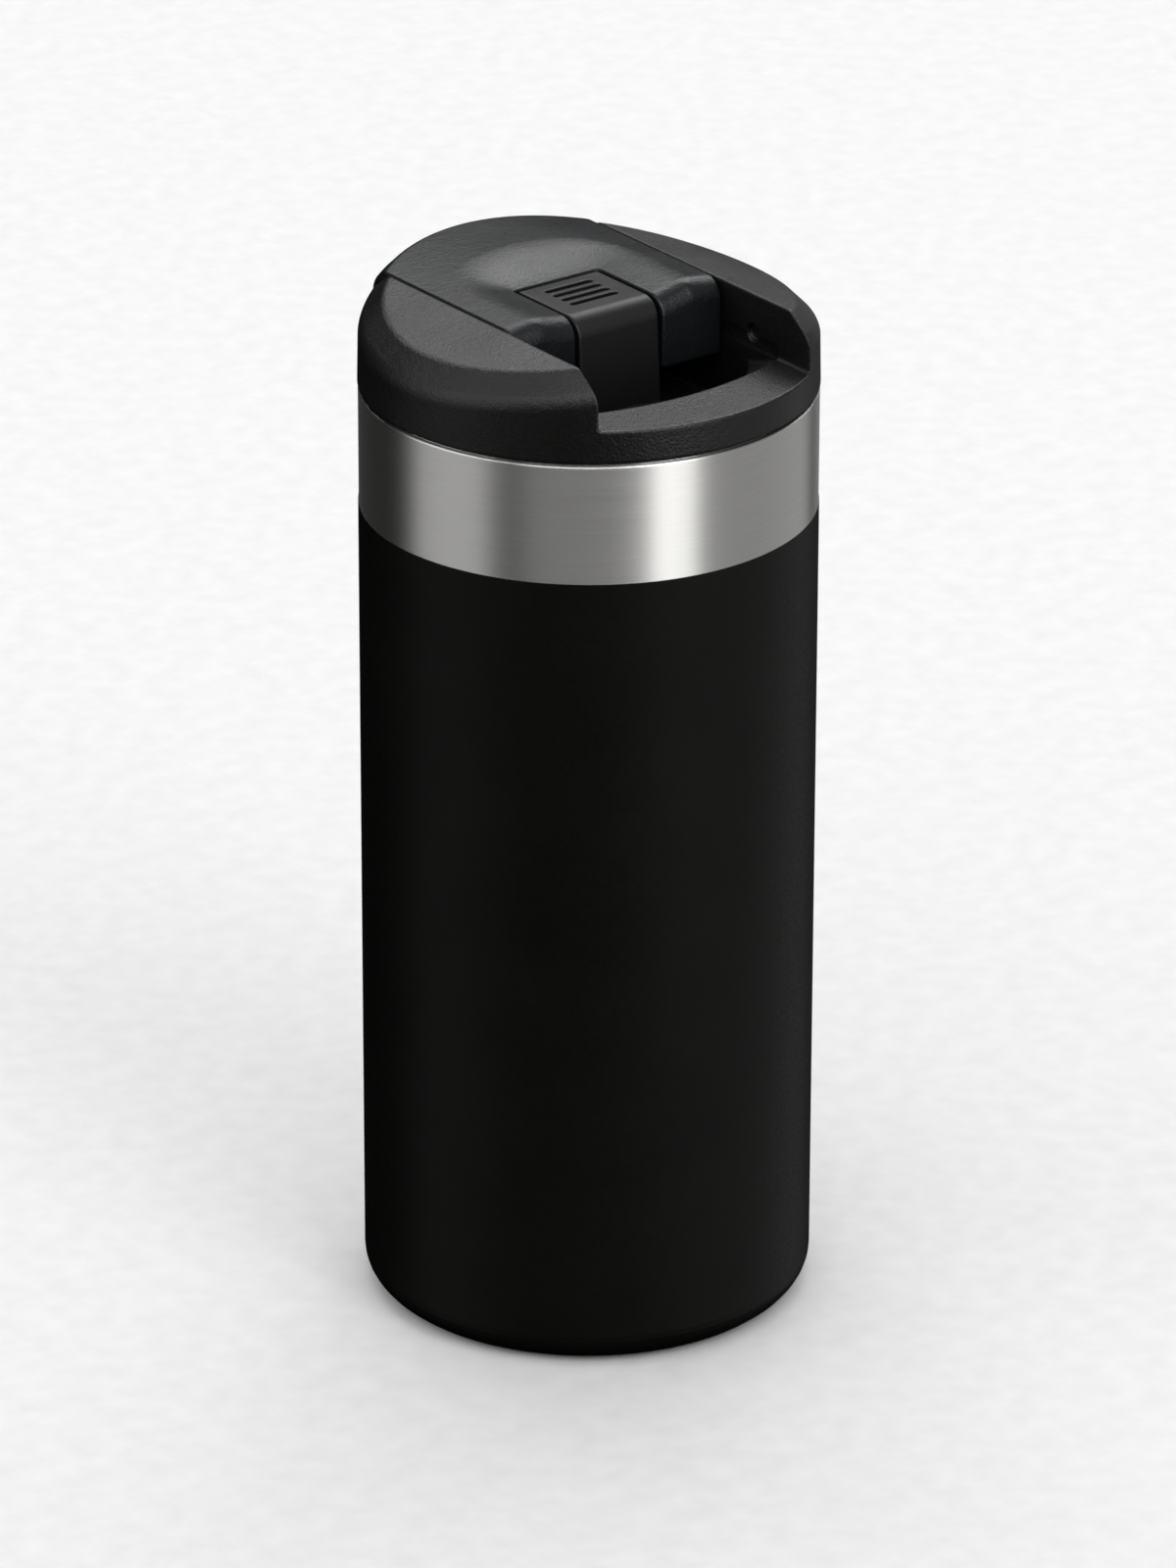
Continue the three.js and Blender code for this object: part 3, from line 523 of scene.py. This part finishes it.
def rounded_outline(corners, closed=True):
    """Points along an outline of (radius, height, rounding) corners, with extra rows beside each arc."""
    spots = [np.array(c[:2], float) for c in corners]
    outline = []
    last = len(spots) - 1
    for i, spot in enumerate(spots):
        rounding = corners[i][2] if len(corners[i]) > 2 else 0
        if rounding == 0 or (not closed and i in (0, last)):
            outline.append(spot)
            continue
        before = spots[i - 1] - spot
        after = spots[(i + 1) % len(spots)] - spot
        before_unit = before / np.linalg.norm(before)
        after_unit = after / np.linalg.norm(after)
        half = math.acos(np.clip(before_unit @ after_unit, -1, 1)) / 2
        room = 0.48 * np.linalg.norm(before), 0.48 * np.linalg.norm(after)
        reach = min(rounding / math.tan(half), *room)
        rounding = reach * math.tan(half)
        middle = (before_unit + after_unit) / np.linalg.norm(before_unit + after_unit)
        centre = spot + middle * rounding / math.sin(half)
        start = spot + before_unit * reach - centre
        end = spot + after_unit * reach - centre
        sweep = math.pi - 2 * half
        steps = max(3, round(sweep / 0.2))
        for k in range(steps + 1):
            t = k / steps
            mix = (math.sin((1 - t) * sweep) * start + math.sin(t * sweep) * end) / math.sin(sweep)
            outline.append(centre + mix)
    return refined(outline, closed)


def refined(outline, closed, longest=4.0, beside=0.12):
    """Adds rows to long straight stretches, and one close to each of their ends."""
    result = []
    pairs = zip(outline, outline[1:] + outline[:1] if closed else outline[1:])
    for a, b in pairs:
        length = np.linalg.norm(b - a)
        shares = [0.0]
        if length > 6 * beside:
            shares += [beside / length]
            inner = math.ceil(length / longest)
            shares += [k / inner for k in range(1, inner)]
            shares += [1 - beside / length]
        result += [a + (b - a) * s for s in shares]
    if not closed:
        result.append(outline[-1])
    return np.array(result)


def lathe_piece(name, corners, body, material, replaced=(), segments=192, at=(0, 0), swell=None):
    """An outline of (radius, height, rounding) revolved about Z, closed unless it meets the axis."""
    on_axis = corners[0][0] == 0 and corners[-1][0] == 0
    outline = rounded_outline(corners, closed=not on_axis)
    angle = np.arange(segments) * 2 * np.pi / segments
    radius, height = outline[:, :1], outline[:, 1:]
    if swell is not None:
        radius = radius + swell(radius, angle[None, :], height)
    rows = np.stack(
        [radius * np.cos(angle) + at[0], radius * np.sin(angle) + at[1], height + 0 * angle], axis=2
    )
    points = rows.reshape(-1, 3)
    count = len(outline)
    first = np.arange(count if not on_axis else count - 1)
    a = first[:, None] * segments + np.arange(segments)[None, :]
    b = first[:, None] * segments + (np.arange(segments)[None, :] + 1) % segments
    c = (b + segments) % (count * segments)
    d = (a + segments) % (count * segments)
    quads = np.stack([a, b, c, d], axis=2).reshape(-1, 4)
    piece = mesh_piece(name, points, quads, body, material, replaced)
    tidy(piece, on_axis)
    return piece


def tidy(piece, on_axis):
    """Welds the poles of a mesh that meets its axis, and turns its faces outwards."""
    work = bmesh.new()
    work.from_mesh(piece.data)
    if on_axis:
        bmesh.ops.remove_doubles(work, verts=work.verts, dist=1e-7)
    bmesh.ops.recalc_face_normals(work, faces=work.faces)
    work.to_mesh(piece.data)
    work.free()
    piece.data.update()


def wire_piece(name, path, wire_r, body, material, replaced, sides=12):
    """A round wire with rounded ends along a path of points in millimetres."""
    path = np.array(path, float)
    tangent = np.gradient(path, axis=0)
    tangent /= np.linalg.norm(tangent, axis=1)[:, None]
    normal = np.cross(tangent[0], [1.0, 0.3, 0.2])
    rings = []
    turn = np.arange(sides) * 2 * np.pi / sides
    for spot, along in zip(path, tangent):
        normal = normal - along * (normal @ along)
        normal /= np.linalg.norm(normal)
        side = np.cross(along, normal)
        rings.append(spot + wire_r * (np.cos(turn)[:, None] * normal + np.sin(turn)[:, None] * side))
    rings = [path[0] + (rings[0] - path[0]) * 0.5 - tangent[0] * wire_r * 0.5] + rings
    rings = rings + [path[-1] + (rings[-1] - path[-1]) * 0.5 + tangent[-1] * wire_r * 0.5]
    count = len(rings)
    points = np.concatenate(rings)
    faces = []
    for i in range(count - 1):
        for j in range(sides):
            k = (j + 1) % sides
            faces.append((i * sides + j, i * sides + k, (i + 1) * sides + k, (i + 1) * sides + j))
    centre_start, centre_end = len(points), len(points) + 1
    tip_out = wire_r * 0.6
    points = np.vstack([points, path[0] - tangent[0] * tip_out, path[-1] + tangent[-1] * tip_out])
    mesh = bpy.data.meshes.new(name)
    caps = [((j + 1) % sides, j, centre_start) for j in range(sides)]
    base = (count - 1) * sides
    caps += [(base + j, base + (j + 1) % sides, centre_end) for j in range(sides)]
    mesh.from_pydata((points * MM).tolist(), [], faces + caps)
    mesh.polygons.foreach_set("use_smooth", np.ones(len(mesh.polygons), bool))
    piece = bpy.data.objects.new(name, mesh)
    bpy.context.scene.collection.objects.link(piece)
    mesh.materials.append(material)
    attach(piece, body)
    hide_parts(*replaced)
    tidy(piece, False)
    return piece


# ------------------------------------------------------------------ materials
class Look:
    """A node material round one Principled shader, with object coordinates in metres."""

    def __init__(self, name, **values):
        self.material = bpy.data.materials.new(name)
        self.material.use_nodes = True
        self.nodes = self.material.node_tree.nodes
        self.links = self.material.node_tree.links
        self.shader = self.nodes["Principled BSDF"]
        self.where = self.nodes.new("ShaderNodeTexCoord").outputs["Object"]
        for key, value in values.items():
            self.shader.inputs[key.replace("_", " ")].default_value = value

    def add(self, kind, **inputs):
        node = self.nodes.new(kind)
        for key, value in inputs.items():
            socket = node.inputs[key.replace("_", " ")]
            if isinstance(value, bpy.types.NodeSocket):
                self.links.new(value, socket)
            else:
                socket.default_value = value
        return node

    def noise(self, scale, detail=2.0, roughness=0.5, stretch=(1, 1, 1)):
        mapping = self.add("ShaderNodeMapping", Vector=self.where, Scale=stretch)
        noise = self.add("ShaderNodeTexNoise", Vector=mapping.outputs[0], Scale=scale, Detail=detail)
        noise.inputs["Roughness"].default_value = roughness
        return noise.outputs["Fac"]

    def span(self, source, low_value, high_value, start=0.3, end=0.7):
        """A number that follows a 0 to 1 source between two values."""
        node = self.add("ShaderNodeMapRange", Value=source)
        node.inputs["From Min"].default_value = start
        node.inputs["From Max"].default_value = end
        node.inputs["To Min"].default_value = low_value
        node.inputs["To Max"].default_value = high_value
        return node.outputs["Result"]

    def blend(self, source, first, second):
        """A colour that follows a 0 to 1 source between two colours."""
        ramp = self.add("ShaderNodeValToRGB", Fac=source)
        ramp.color_ramp.elements[0].position = 0.3
        ramp.color_ramp.elements[1].position = 0.7
        ramp.color_ramp.elements[0].color = (*first, 1)
        ramp.color_ramp.elements[1].color = (*second, 1)
        return ramp.outputs["Color"]

    def set(self, name, source):
        self.links.new(source, self.shader.inputs[name])

    def bump(self, *layers):
        """Bump layers of (height source, distance in mm, strength), one on top of another."""
        normal = None
        for source, distance, strength in layers:
            node = self.add("ShaderNodeBump", Height=source, Distance=distance * MM, Strength=strength)
            if normal is not None:
                self.links.new(normal, node.inputs["Normal"])
            normal = node.outputs["Normal"]
        self.set("Normal", normal)


def moulded(name, dark, pale, rough, grain_scale, grain_depth, specular=0.3):
    """Moulded plastic with a fine eroded grain."""
    look = Look(name, Specular_IOR_Level=specular)
    patch = look.noise(90, 3)
    grain = look.noise(grain_scale, 2, 0.6)
    look.set("Base Color", look.blend(grain, dark, pale))
    look.set("Roughness", look.span(patch, rough - 0.04, rough + 0.05))
    look.bump((grain, grain_depth, 0.5), (look.noise(grain_scale * 0.25, 2), grain_depth * 1.5, 0.25))
    return look.material


def powder_coat():
    look = Look("black_coat", Specular_IOR_Level=0.12)
    peel = look.noise(1900, 2, 0.55)
    wear = look.noise(60, 4, 0.6)
    look.set("Base Color", look.blend(wear, (0.0009, 0.0009, 0.0007), (0.0014, 0.0014, 0.0011)))
    look.set("Roughness", look.span(peel, 0.4, 0.52))
    look.bump((peel, 0.02, 0.35), (look.noise(450, 2), 0.03, 0.2))
    return look.material


def brushed_steel(name, tone, rough):
    """Steel brushed round the body, so its grain lies level."""
    look = Look(name, Metallic=1.0, Anisotropic=0.9, Anisotropic_Rotation=0.25)
    fine = look.noise(1, 2, 0.5, (90, 90, 5000))
    broad = look.noise(1, 2, 0.5, (30, 30, 3000))
    dark = tuple(c * 0.92 for c in tone)
    look.set("Base Color", look.blend(fine, dark, tone))
    look.set("Roughness", look.span(broad, rough - 0.008, rough + 0.008))
    look.bump((fine, 0.001, 0.05))
    tangent = look.nodes.new("ShaderNodeTangent")
    tangent.direction_type = "RADIAL"
    tangent.axis = "Z"
    look.set("Tangent", tangent.outputs["Tangent"])
    return look.material


def drawn_steel():
    look = Look("drawn_steel", Metallic=1.0)
    streak = look.noise(1, 3, 0.6, (9000, 900, 900))
    look.set("Base Color", look.blend(streak, (0.42, 0.42, 0.41), (0.56, 0.56, 0.55)))
    look.set("Roughness", look.span(streak, 0.22, 0.36))
    look.bump((streak, 0.004, 0.3))
    return look.material


def silicone(name="silicone_grey"):
    look = Look(name, Specular_IOR_Level=0.35)
    dust = look.noise(700, 3, 0.6)
    look.set("Base Color", look.blend(dust, (0.03, 0.032, 0.034), (0.042, 0.044, 0.047)))
    look.set("Roughness", look.span(look.noise(150, 2), 0.5, 0.62))
    look.bump((dust, 0.01, 0.3))
    return look.material


def mineral(name, first, second, rough):
    """Sintered or fired material with a coarse speckle."""
    look = Look(name)
    speckle = look.noise(1600, 4, 0.7)
    look.set("Base Color", look.blend(speckle, first, second))
    look.set("Roughness", look.span(speckle, rough - 0.1, rough + 0.1))
    look.bump((speckle, 0.03, 0.6))
    return look.material


LID_PLASTIC = moulded(
    "lid_plastic", (0.0011, 0.0011, 0.001), (0.0018, 0.0018, 0.0016), 0.42, 2600, 0.16
)
COVER_PLASTIC = moulded(
    "cover_plastic", (0.0014, 0.002, 0.0024), (0.0024, 0.0031, 0.0038), 0.34, 2600, 0.12, specular=0.2
)
BUTTON_PLASTIC = moulded(
    "button_plastic", (0.002, 0.002, 0.0019), (0.003, 0.0029, 0.0028), 0.4, 3000, 0.03, specular=0.2
)
BLACK_COAT = powder_coat()
BAND_STEEL = brushed_steel("brushed_steel", (0.57, 0.565, 0.55), 0.38)
INNER_STEEL = brushed_steel("vessel_steel", (0.6, 0.6, 0.585), 0.34)
WIRE_STEEL = drawn_steel()
SILICONE = silicone()
GETTER_ALLOY = mineral("getter_alloy", (0.1, 0.095, 0.09), (0.2, 0.19, 0.18), 0.7)
SEAL_GLASS = mineral("seal_glass", (0.25, 0.24, 0.2), (0.34, 0.33, 0.29), 0.35)


# ------------------------------------------------------------------ body
def steel_shell():
    """The bare steel tube under the coat, its rim rolled over."""
    outer = BODY_R - 0.1
    inner = BODY_R - WALL
    corner = BODY_R - FOOT_R
    lathe_piece(
        "steel_shell",
        [
            (FOOT_INNER_R, 0.1, 0.15),
            (outer, 0.1, corner),
            (outer, RIM_Z, 0.3),
            (inner, RIM_Z, 0.1),
            (inner, WALL, corner - WALL),
            (FOOT_INNER_R, WALL, 0.15),
        ],
        "mug_body",
        BAND_STEEL,
        ["outer_shell"],
        segments=256,
    )


def coat_skin():
    """The powder coat: a skin over the shell up to the bare band, with a soft upper edge."""
    corner = BODY_R - FOOT_R
    lathe_piece(
        "coat_skin",
        [
            (FOOT_INNER_R + 0.2, 0, 0.05),
            (BODY_R, 0, corner),
            (BODY_R, COAT_TOP_Z, 0.09),
            (BODY_R - COAT, COAT_TOP_Z),
            (BODY_R - COAT, COAT, corner - COAT),
            (FOOT_INNER_R + 0.2, COAT),
        ],
        "mug_body",
        BLACK_COAT,
        segments=256,
    )


def base_cap():
    radius = high("base_cap")[0]
    bottom, top = low("base_cap")[2], high("base_cap")[2]
    lathe_piece(
        "base_disc",
        [
            (0, bottom + 0.15),
            (radius - 5, bottom + 0.15, 0.5),
            (radius - 4, bottom, 0.5),
            (radius, bottom, 0.25),
            (radius, top, 0.15),
            (0, top),
        ],
        "mug_body",
        BLACK_COAT,
        ["base_cap"],
    )


def neck_thread(radius, angle, height):
    """Swell of the neck's thread, inwards, on the rows of the neck's inner wall."""
    inner_wall = (np.abs(radius - NECK_R) < 0.01) & (height > BEAD_Z + 2) & (height < RIM_Z - 1)
    x, y = np.cos(angle), np.sin(angle)
    return np.where(inner_wall, -ridge(x, y, height, 0), 0)


def vessel():
    """The inner vessel: deep drawn, with a sealing bead, a threaded neck and a flange at the rim."""
    inner = VESSEL_R - WALL
    flange_r = BODY_R - WALL - 0.3
    neck_rows = [(NECK_R, z) for z in np.arange(RIM_Z - 1.2, BEAD_Z + 2.4, -0.2)]
    lathe_piece(
        "steel_vessel",
        [
            (0, VESSEL_FLOOR_Z),
            (VESSEL_R, VESSEL_FLOOR_Z, 6.5),
            (VESSEL_R, BEAD_Z - 2.5, 1),
            (BEAD_R + WALL, BEAD_Z - 0.6, 0.5),
            (BEAD_R + WALL, BEAD_Z + 0.6, 0.5),
            (NECK_R + WALL, BEAD_Z + 2.2, 0.5),
            (NECK_R + WALL, RIM_Z - WALL, 0.8),
            (flange_r, RIM_Z - WALL, 0.1),
            (flange_r, RIM_Z, 0.15),
            (NECK_R, RIM_Z, 0.9),
            *neck_rows,
            (NECK_R, BEAD_Z + 2, 0.3),
            (BEAD_R, BEAD_Z + 0.6, 0.5),
            (BEAD_R, BEAD_Z - 0.6, 0.5),
            (inner, BEAD_Z - 2.7, 1),
            (inner, VESSEL_FLOOR_Z + WALL, 5.7),
            (0, VESSEL_FLOOR_Z + WALL),
        ],
        "mug_body",
        INNER_STEEL,
        ["inner_vessel"],
        swell=neck_thread,
    )


# ------------------------------------------------------------------ lid
def lid_pieces():
    field_piece(
        "housing_shell",
        housing,
        ((-BODY_R, -BODY_R, DECK_BOTTOM_Z), (BODY_R, BODY_R, CROWN_Z)),
        MEDIUM,
        "lid",
        LID_PLASTIC,
        ["lid_housing"],
    )
    field_piece(
        "threaded_plug",
        plug,
        ((-PLUG_FLANGE_R, -PLUG_FLANGE_R, PLUG_FLOOR_Z), (PLUG_FLANGE_R, PLUG_FLANGE_R, PLUG_TOP_Z)),
        COARSE,
        "lid",
        LID_PLASTIC,
        ["lid_plug"],
    )
    field_piece("cover_shell", cover, box_of("flip_cover"), MEDIUM, "cover", COVER_PLASTIC,
                ["flip_cover"])
    field_piece("seal_carrier", plate, box_of("cover_plate"), MEDIUM, "cover", LID_PLASTIC,
                ["cover_plate"])
    field_piece("button_shell", button, box_of("latch_button"), FINE, "button",
                BUTTON_PLASTIC, ["latch_button"])


def box_of(node):
    return low(node), high(node)


def gasket():
    bottom, top = low("mouth_gasket")[2], high("mouth_gasket")[2]
    radius = high("mouth_gasket")[0]
    lathe_piece(
        "mouth_ring",
        [
            (26, bottom + 0.9, 0.2),
            (26.9, bottom + 0.9, 0.2),
            (27.5, bottom, 0.15),
            (radius, bottom, 0.2),
            (radius, bottom + 1, 0.2),
            (27.6, bottom + 1.3, 0.15),
            (27.7, bottom + 1.7, 0.15),
            (27.4, top, 0.15),
            (26, top, 0.15),
        ],
        "lid_seal",
        SILICONE,
        ["mouth_gasket"],
    )


def seals():
    face = COLLAR_Z + 0.3
    lathe_piece(
        "spout_stopper",
        [
            (0, face - 1),
            (2.4, face - 1, 0.8),
            (3.4, face, 0.4),
            (4.9, face, 0.2),
            (5.2, face + 0.2, 0.1),
            (5.4, face, 0.1),
            (5.8, face, 0.15),
            (5.8, face + 1.2, 0.3),
            (3, face + 1.6, 0.4),
            (3, PLATE_Z - 0.3, 0.2),
            (0, PLATE_Z - 0.3),
        ],
        "cover",
        SILICONE,
        ["spout_seal"],
        segments=96,
        at=(0, SPOUT_Y),
    )
    lathe_piece(
        "vent_stopper",
        [
            (0, face),
            (2.2, face, 0.5),
            (2.2, face + 1.2, 0.3),
            (1.4, face + 1.5, 0.3),
            (1.4, PLATE_Z - 0.3, 0.15),
            (0, PLATE_Z - 0.3),
        ],
        "cover",
        SILICONE,
        ["vent_seal"],
        segments=64,
        at=(0, VENT_Y),
    )


def screws():
    for side, name in ((1, "right"), (-1, "left")):
        points, quads = field_mesh(screw, *box_of("cover_screw_right"), 0.14)
        if side < 0:
            points = points * np.array([-1, 1, 1])
            quads = quads[:, ::-1]
        mesh_piece(f"plate_screw_{name}", points, quads, "cover", WIRE_STEEL,
                   [f"cover_screw_{name}"])


def cross_pin(name, node, body, y, z):
    """A turned pin along X with rounded ends."""
    half = high(node)[0]
    radius = (high(node)[2] - low(node)[2]) / 2

    def field(px, py, pz):
        return both(np.hypot(py - y, pz - z) - radius, np.abs(px) - half, 0.3)

    field_piece(name, field, box_of(node), 0.2, body, WIRE_STEEL, [node])


def coil_path(radius, turns, length, steps):
    t = np.linspace(0, 1, steps)
    angle = t * turns * 2 * np.pi
    return np.stack([radius * np.cos(angle), radius * np.sin(angle), t * length], axis=1)


def springs():
    turns, tail = 4.25, 8.5
    coil = coil_path(2.0, turns, 3.2, 140)
    end_angle = turns * 2 * np.pi
    along = np.array([-math.sin(end_angle), math.cos(end_angle), 0])
    leg = coil[-1] + np.linspace(0.05, 1, 24)[:, None] * tail * along
    path = np.vstack([coil, leg])
    turn = ARM_ANGLE - math.pi
    cos, sin = math.cos(turn), math.sin(turn)
    y = path[:, 0] * cos - path[:, 1] * sin + HINGE_Y
    z = path[:, 0] * sin + path[:, 1] * cos + HINGE_Z
    inner = low("hinge_spring_right")[0] + 0.3
    for side, name in ((1, "right"), (-1, "left")):
        placed = np.stack([side * (path[:, 2] + inner), y, z], axis=1)
        wire_piece(f"lid_spring_{name}", placed, 0.3, "lid", WIRE_STEEL,
                   [f"hinge_spring_{name}"])
    bottom, top = low("button_spring")[2] + 0.3, high("button_spring")[2] - 0.3
    path = coil_path(2.0, 5, top - bottom, 160)
    path[:, 1] += (low("button_spring")[1] + high("button_spring")[1]) / 2
    path[:, 2] += bottom
    coil = wire_piece("return_spring", path, 0.3, "cover", WIRE_STEEL, ["button_spring"])
    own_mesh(coil)


def carried_nodes():
    """Pieces sealed in the vacuum space keep their CAD shape and get their finish."""
    for node, material in (
        ("base_pan", INNER_STEEL),
        ("getter_cup", INNER_STEEL),
        ("getter", GETTER_ALLOY),
        ("vacuum_seal", SEAL_GLASS),
    ):
        slots = frame["nodes"][node].data.materials
        slots.clear()
        slots.append(material)


# ------------------------------------------------------------------ stage
def floor():
    """A pale floor that shows in no reflection and casts no shadow, so it doesn't block the low softboxes."""
    look = Look("floor_paper", Specular_IOR_Level=0.1)
    fibre = look.noise(220, 3)
    look.set("Base Color", look.blend(fibre, (0.27, 0.27, 0.27), (0.29, 0.29, 0.29)))
    look.set("Roughness", look.span(fibre, 0.85, 0.95))
    half = 6000
    points = np.array([[-half, -half, 0], [half, -half, 0], [half, half, 0], [-half, half, 0]], float)
    mesh = bpy.data.meshes.new("floor")
    mesh.from_pydata((points * MM).tolist(), [], [(0, 1, 2, 3)])
    mesh.materials.append(look.material)
    plane = bpy.data.objects.new("floor", mesh)
    bpy.context.scene.collection.objects.link(plane)
    plane.visible_glossy = False
    plane.visible_shadow = False


def softbox(name, azimuth, elevation, width, height, glow):
    """A rectangular light 3 m from the mug; its place and its size are given as angles in degrees."""
    reach = 3.0
    a, e = math.radians(azimuth), math.radians(elevation)
    back = Vector((math.sin(a) * math.cos(e), -math.cos(a) * math.cos(e), math.sin(e)))
    data = bpy.data.lights.new(name, "AREA")
    data.shape = "RECTANGLE"
    data.size = 2 * reach * math.tan(math.radians(width) / 2)
    data.size_y = 2 * reach * math.tan(math.radians(height) / 2)
    data.energy = glow * math.pi * data.size * data.size_y
    lamp = bpy.data.objects.new(name, data)
    lamp.location = Vector((0, 0, 0.1)) + back * reach
    lamp.rotation_euler = (-back).to_track_quat("-Z", "Y").to_euler()
    bpy.context.scene.collection.objects.link(lamp)


def lights():
    """Softboxes and an even sky. The low ones shine up through the floor; no reflection shows the sky."""
    softbox("key_behind", 155, 50, 45, 35, 4.5)
    softbox("key_side", 115, 40, 30, 30, 4.0)
    softbox("overhead", -35, 85, 25, 25, 3.0)
    softbox("panel_left_low", -110, -20, 40, 40, 0.4)
    softbox("panel_left_high", -110, 30, 50, 50, 2.0)
    softbox("panel_camera", -35, 45, 60, 35, 3.5)
    softbox("strip_front", 5, 25, 25, 70, 5.0)
    softbox("panel_right_low", 60, -20, 80, 40, 0.5)
    softbox("panel_right_high", 60, 30, 80, 50, 0.4)
    softbox("rim_right", 120, 0, 25, 35, 0.3)
    world = bpy.data.worlds.new("studio")
    bpy.context.scene.world = world
    world.use_nodes = True
    background = world.node_tree.nodes["Background"]
    background.inputs["Color"].default_value = (1, 1, 1, 1)
    background.inputs["Strength"].default_value = 1.5
    world.cycles_visibility.glossy = False


def camera():
    """A long lens at the fitted distance, turned to the drinker's left of the lid's front."""
    azimuth, elevation, distance, aim_z, roll = -37.0, 23.978, 1.3419, 0.083, 0.126
    a, e = math.radians(azimuth), math.radians(elevation)
    back = Vector((math.sin(a) * math.cos(e), -math.cos(a) * math.cos(e), math.sin(e)))
    data = bpy.data.cameras.new("camera")
    data.lens, data.sensor_width = 200, 36
    data.clip_start, data.clip_end = 0.05, 30
    eye = bpy.data.objects.new("camera", data)
    turn = (-back).to_track_quat("-Z", "Y").to_matrix() @ Matrix.Rotation(math.radians(roll), 3, "Z")
    eye.matrix_world = Matrix.Translation(Vector((0, 0, aim_z)) + back * distance) @ turn.to_4x4()
    bpy.context.scene.collection.objects.link(eye)
    bpy.context.scene.camera = eye


bpy.context.scene.view_settings.view_transform = "Standard"
steel_shell()
coat_skin()
base_cap()
vessel()
lid_pieces()
gasket()
seals()
screws()
cross_pin("lid_hinge_pin", "hinge_pin", "cover", HINGE_Y, HINGE_Z)
cross_pin("latch_pin", "button_pin", "cover", BUTTON_PIN_Y, BUTTON_PIN_Z)
springs()
carried_nodes()
floor()
lights()
camera()
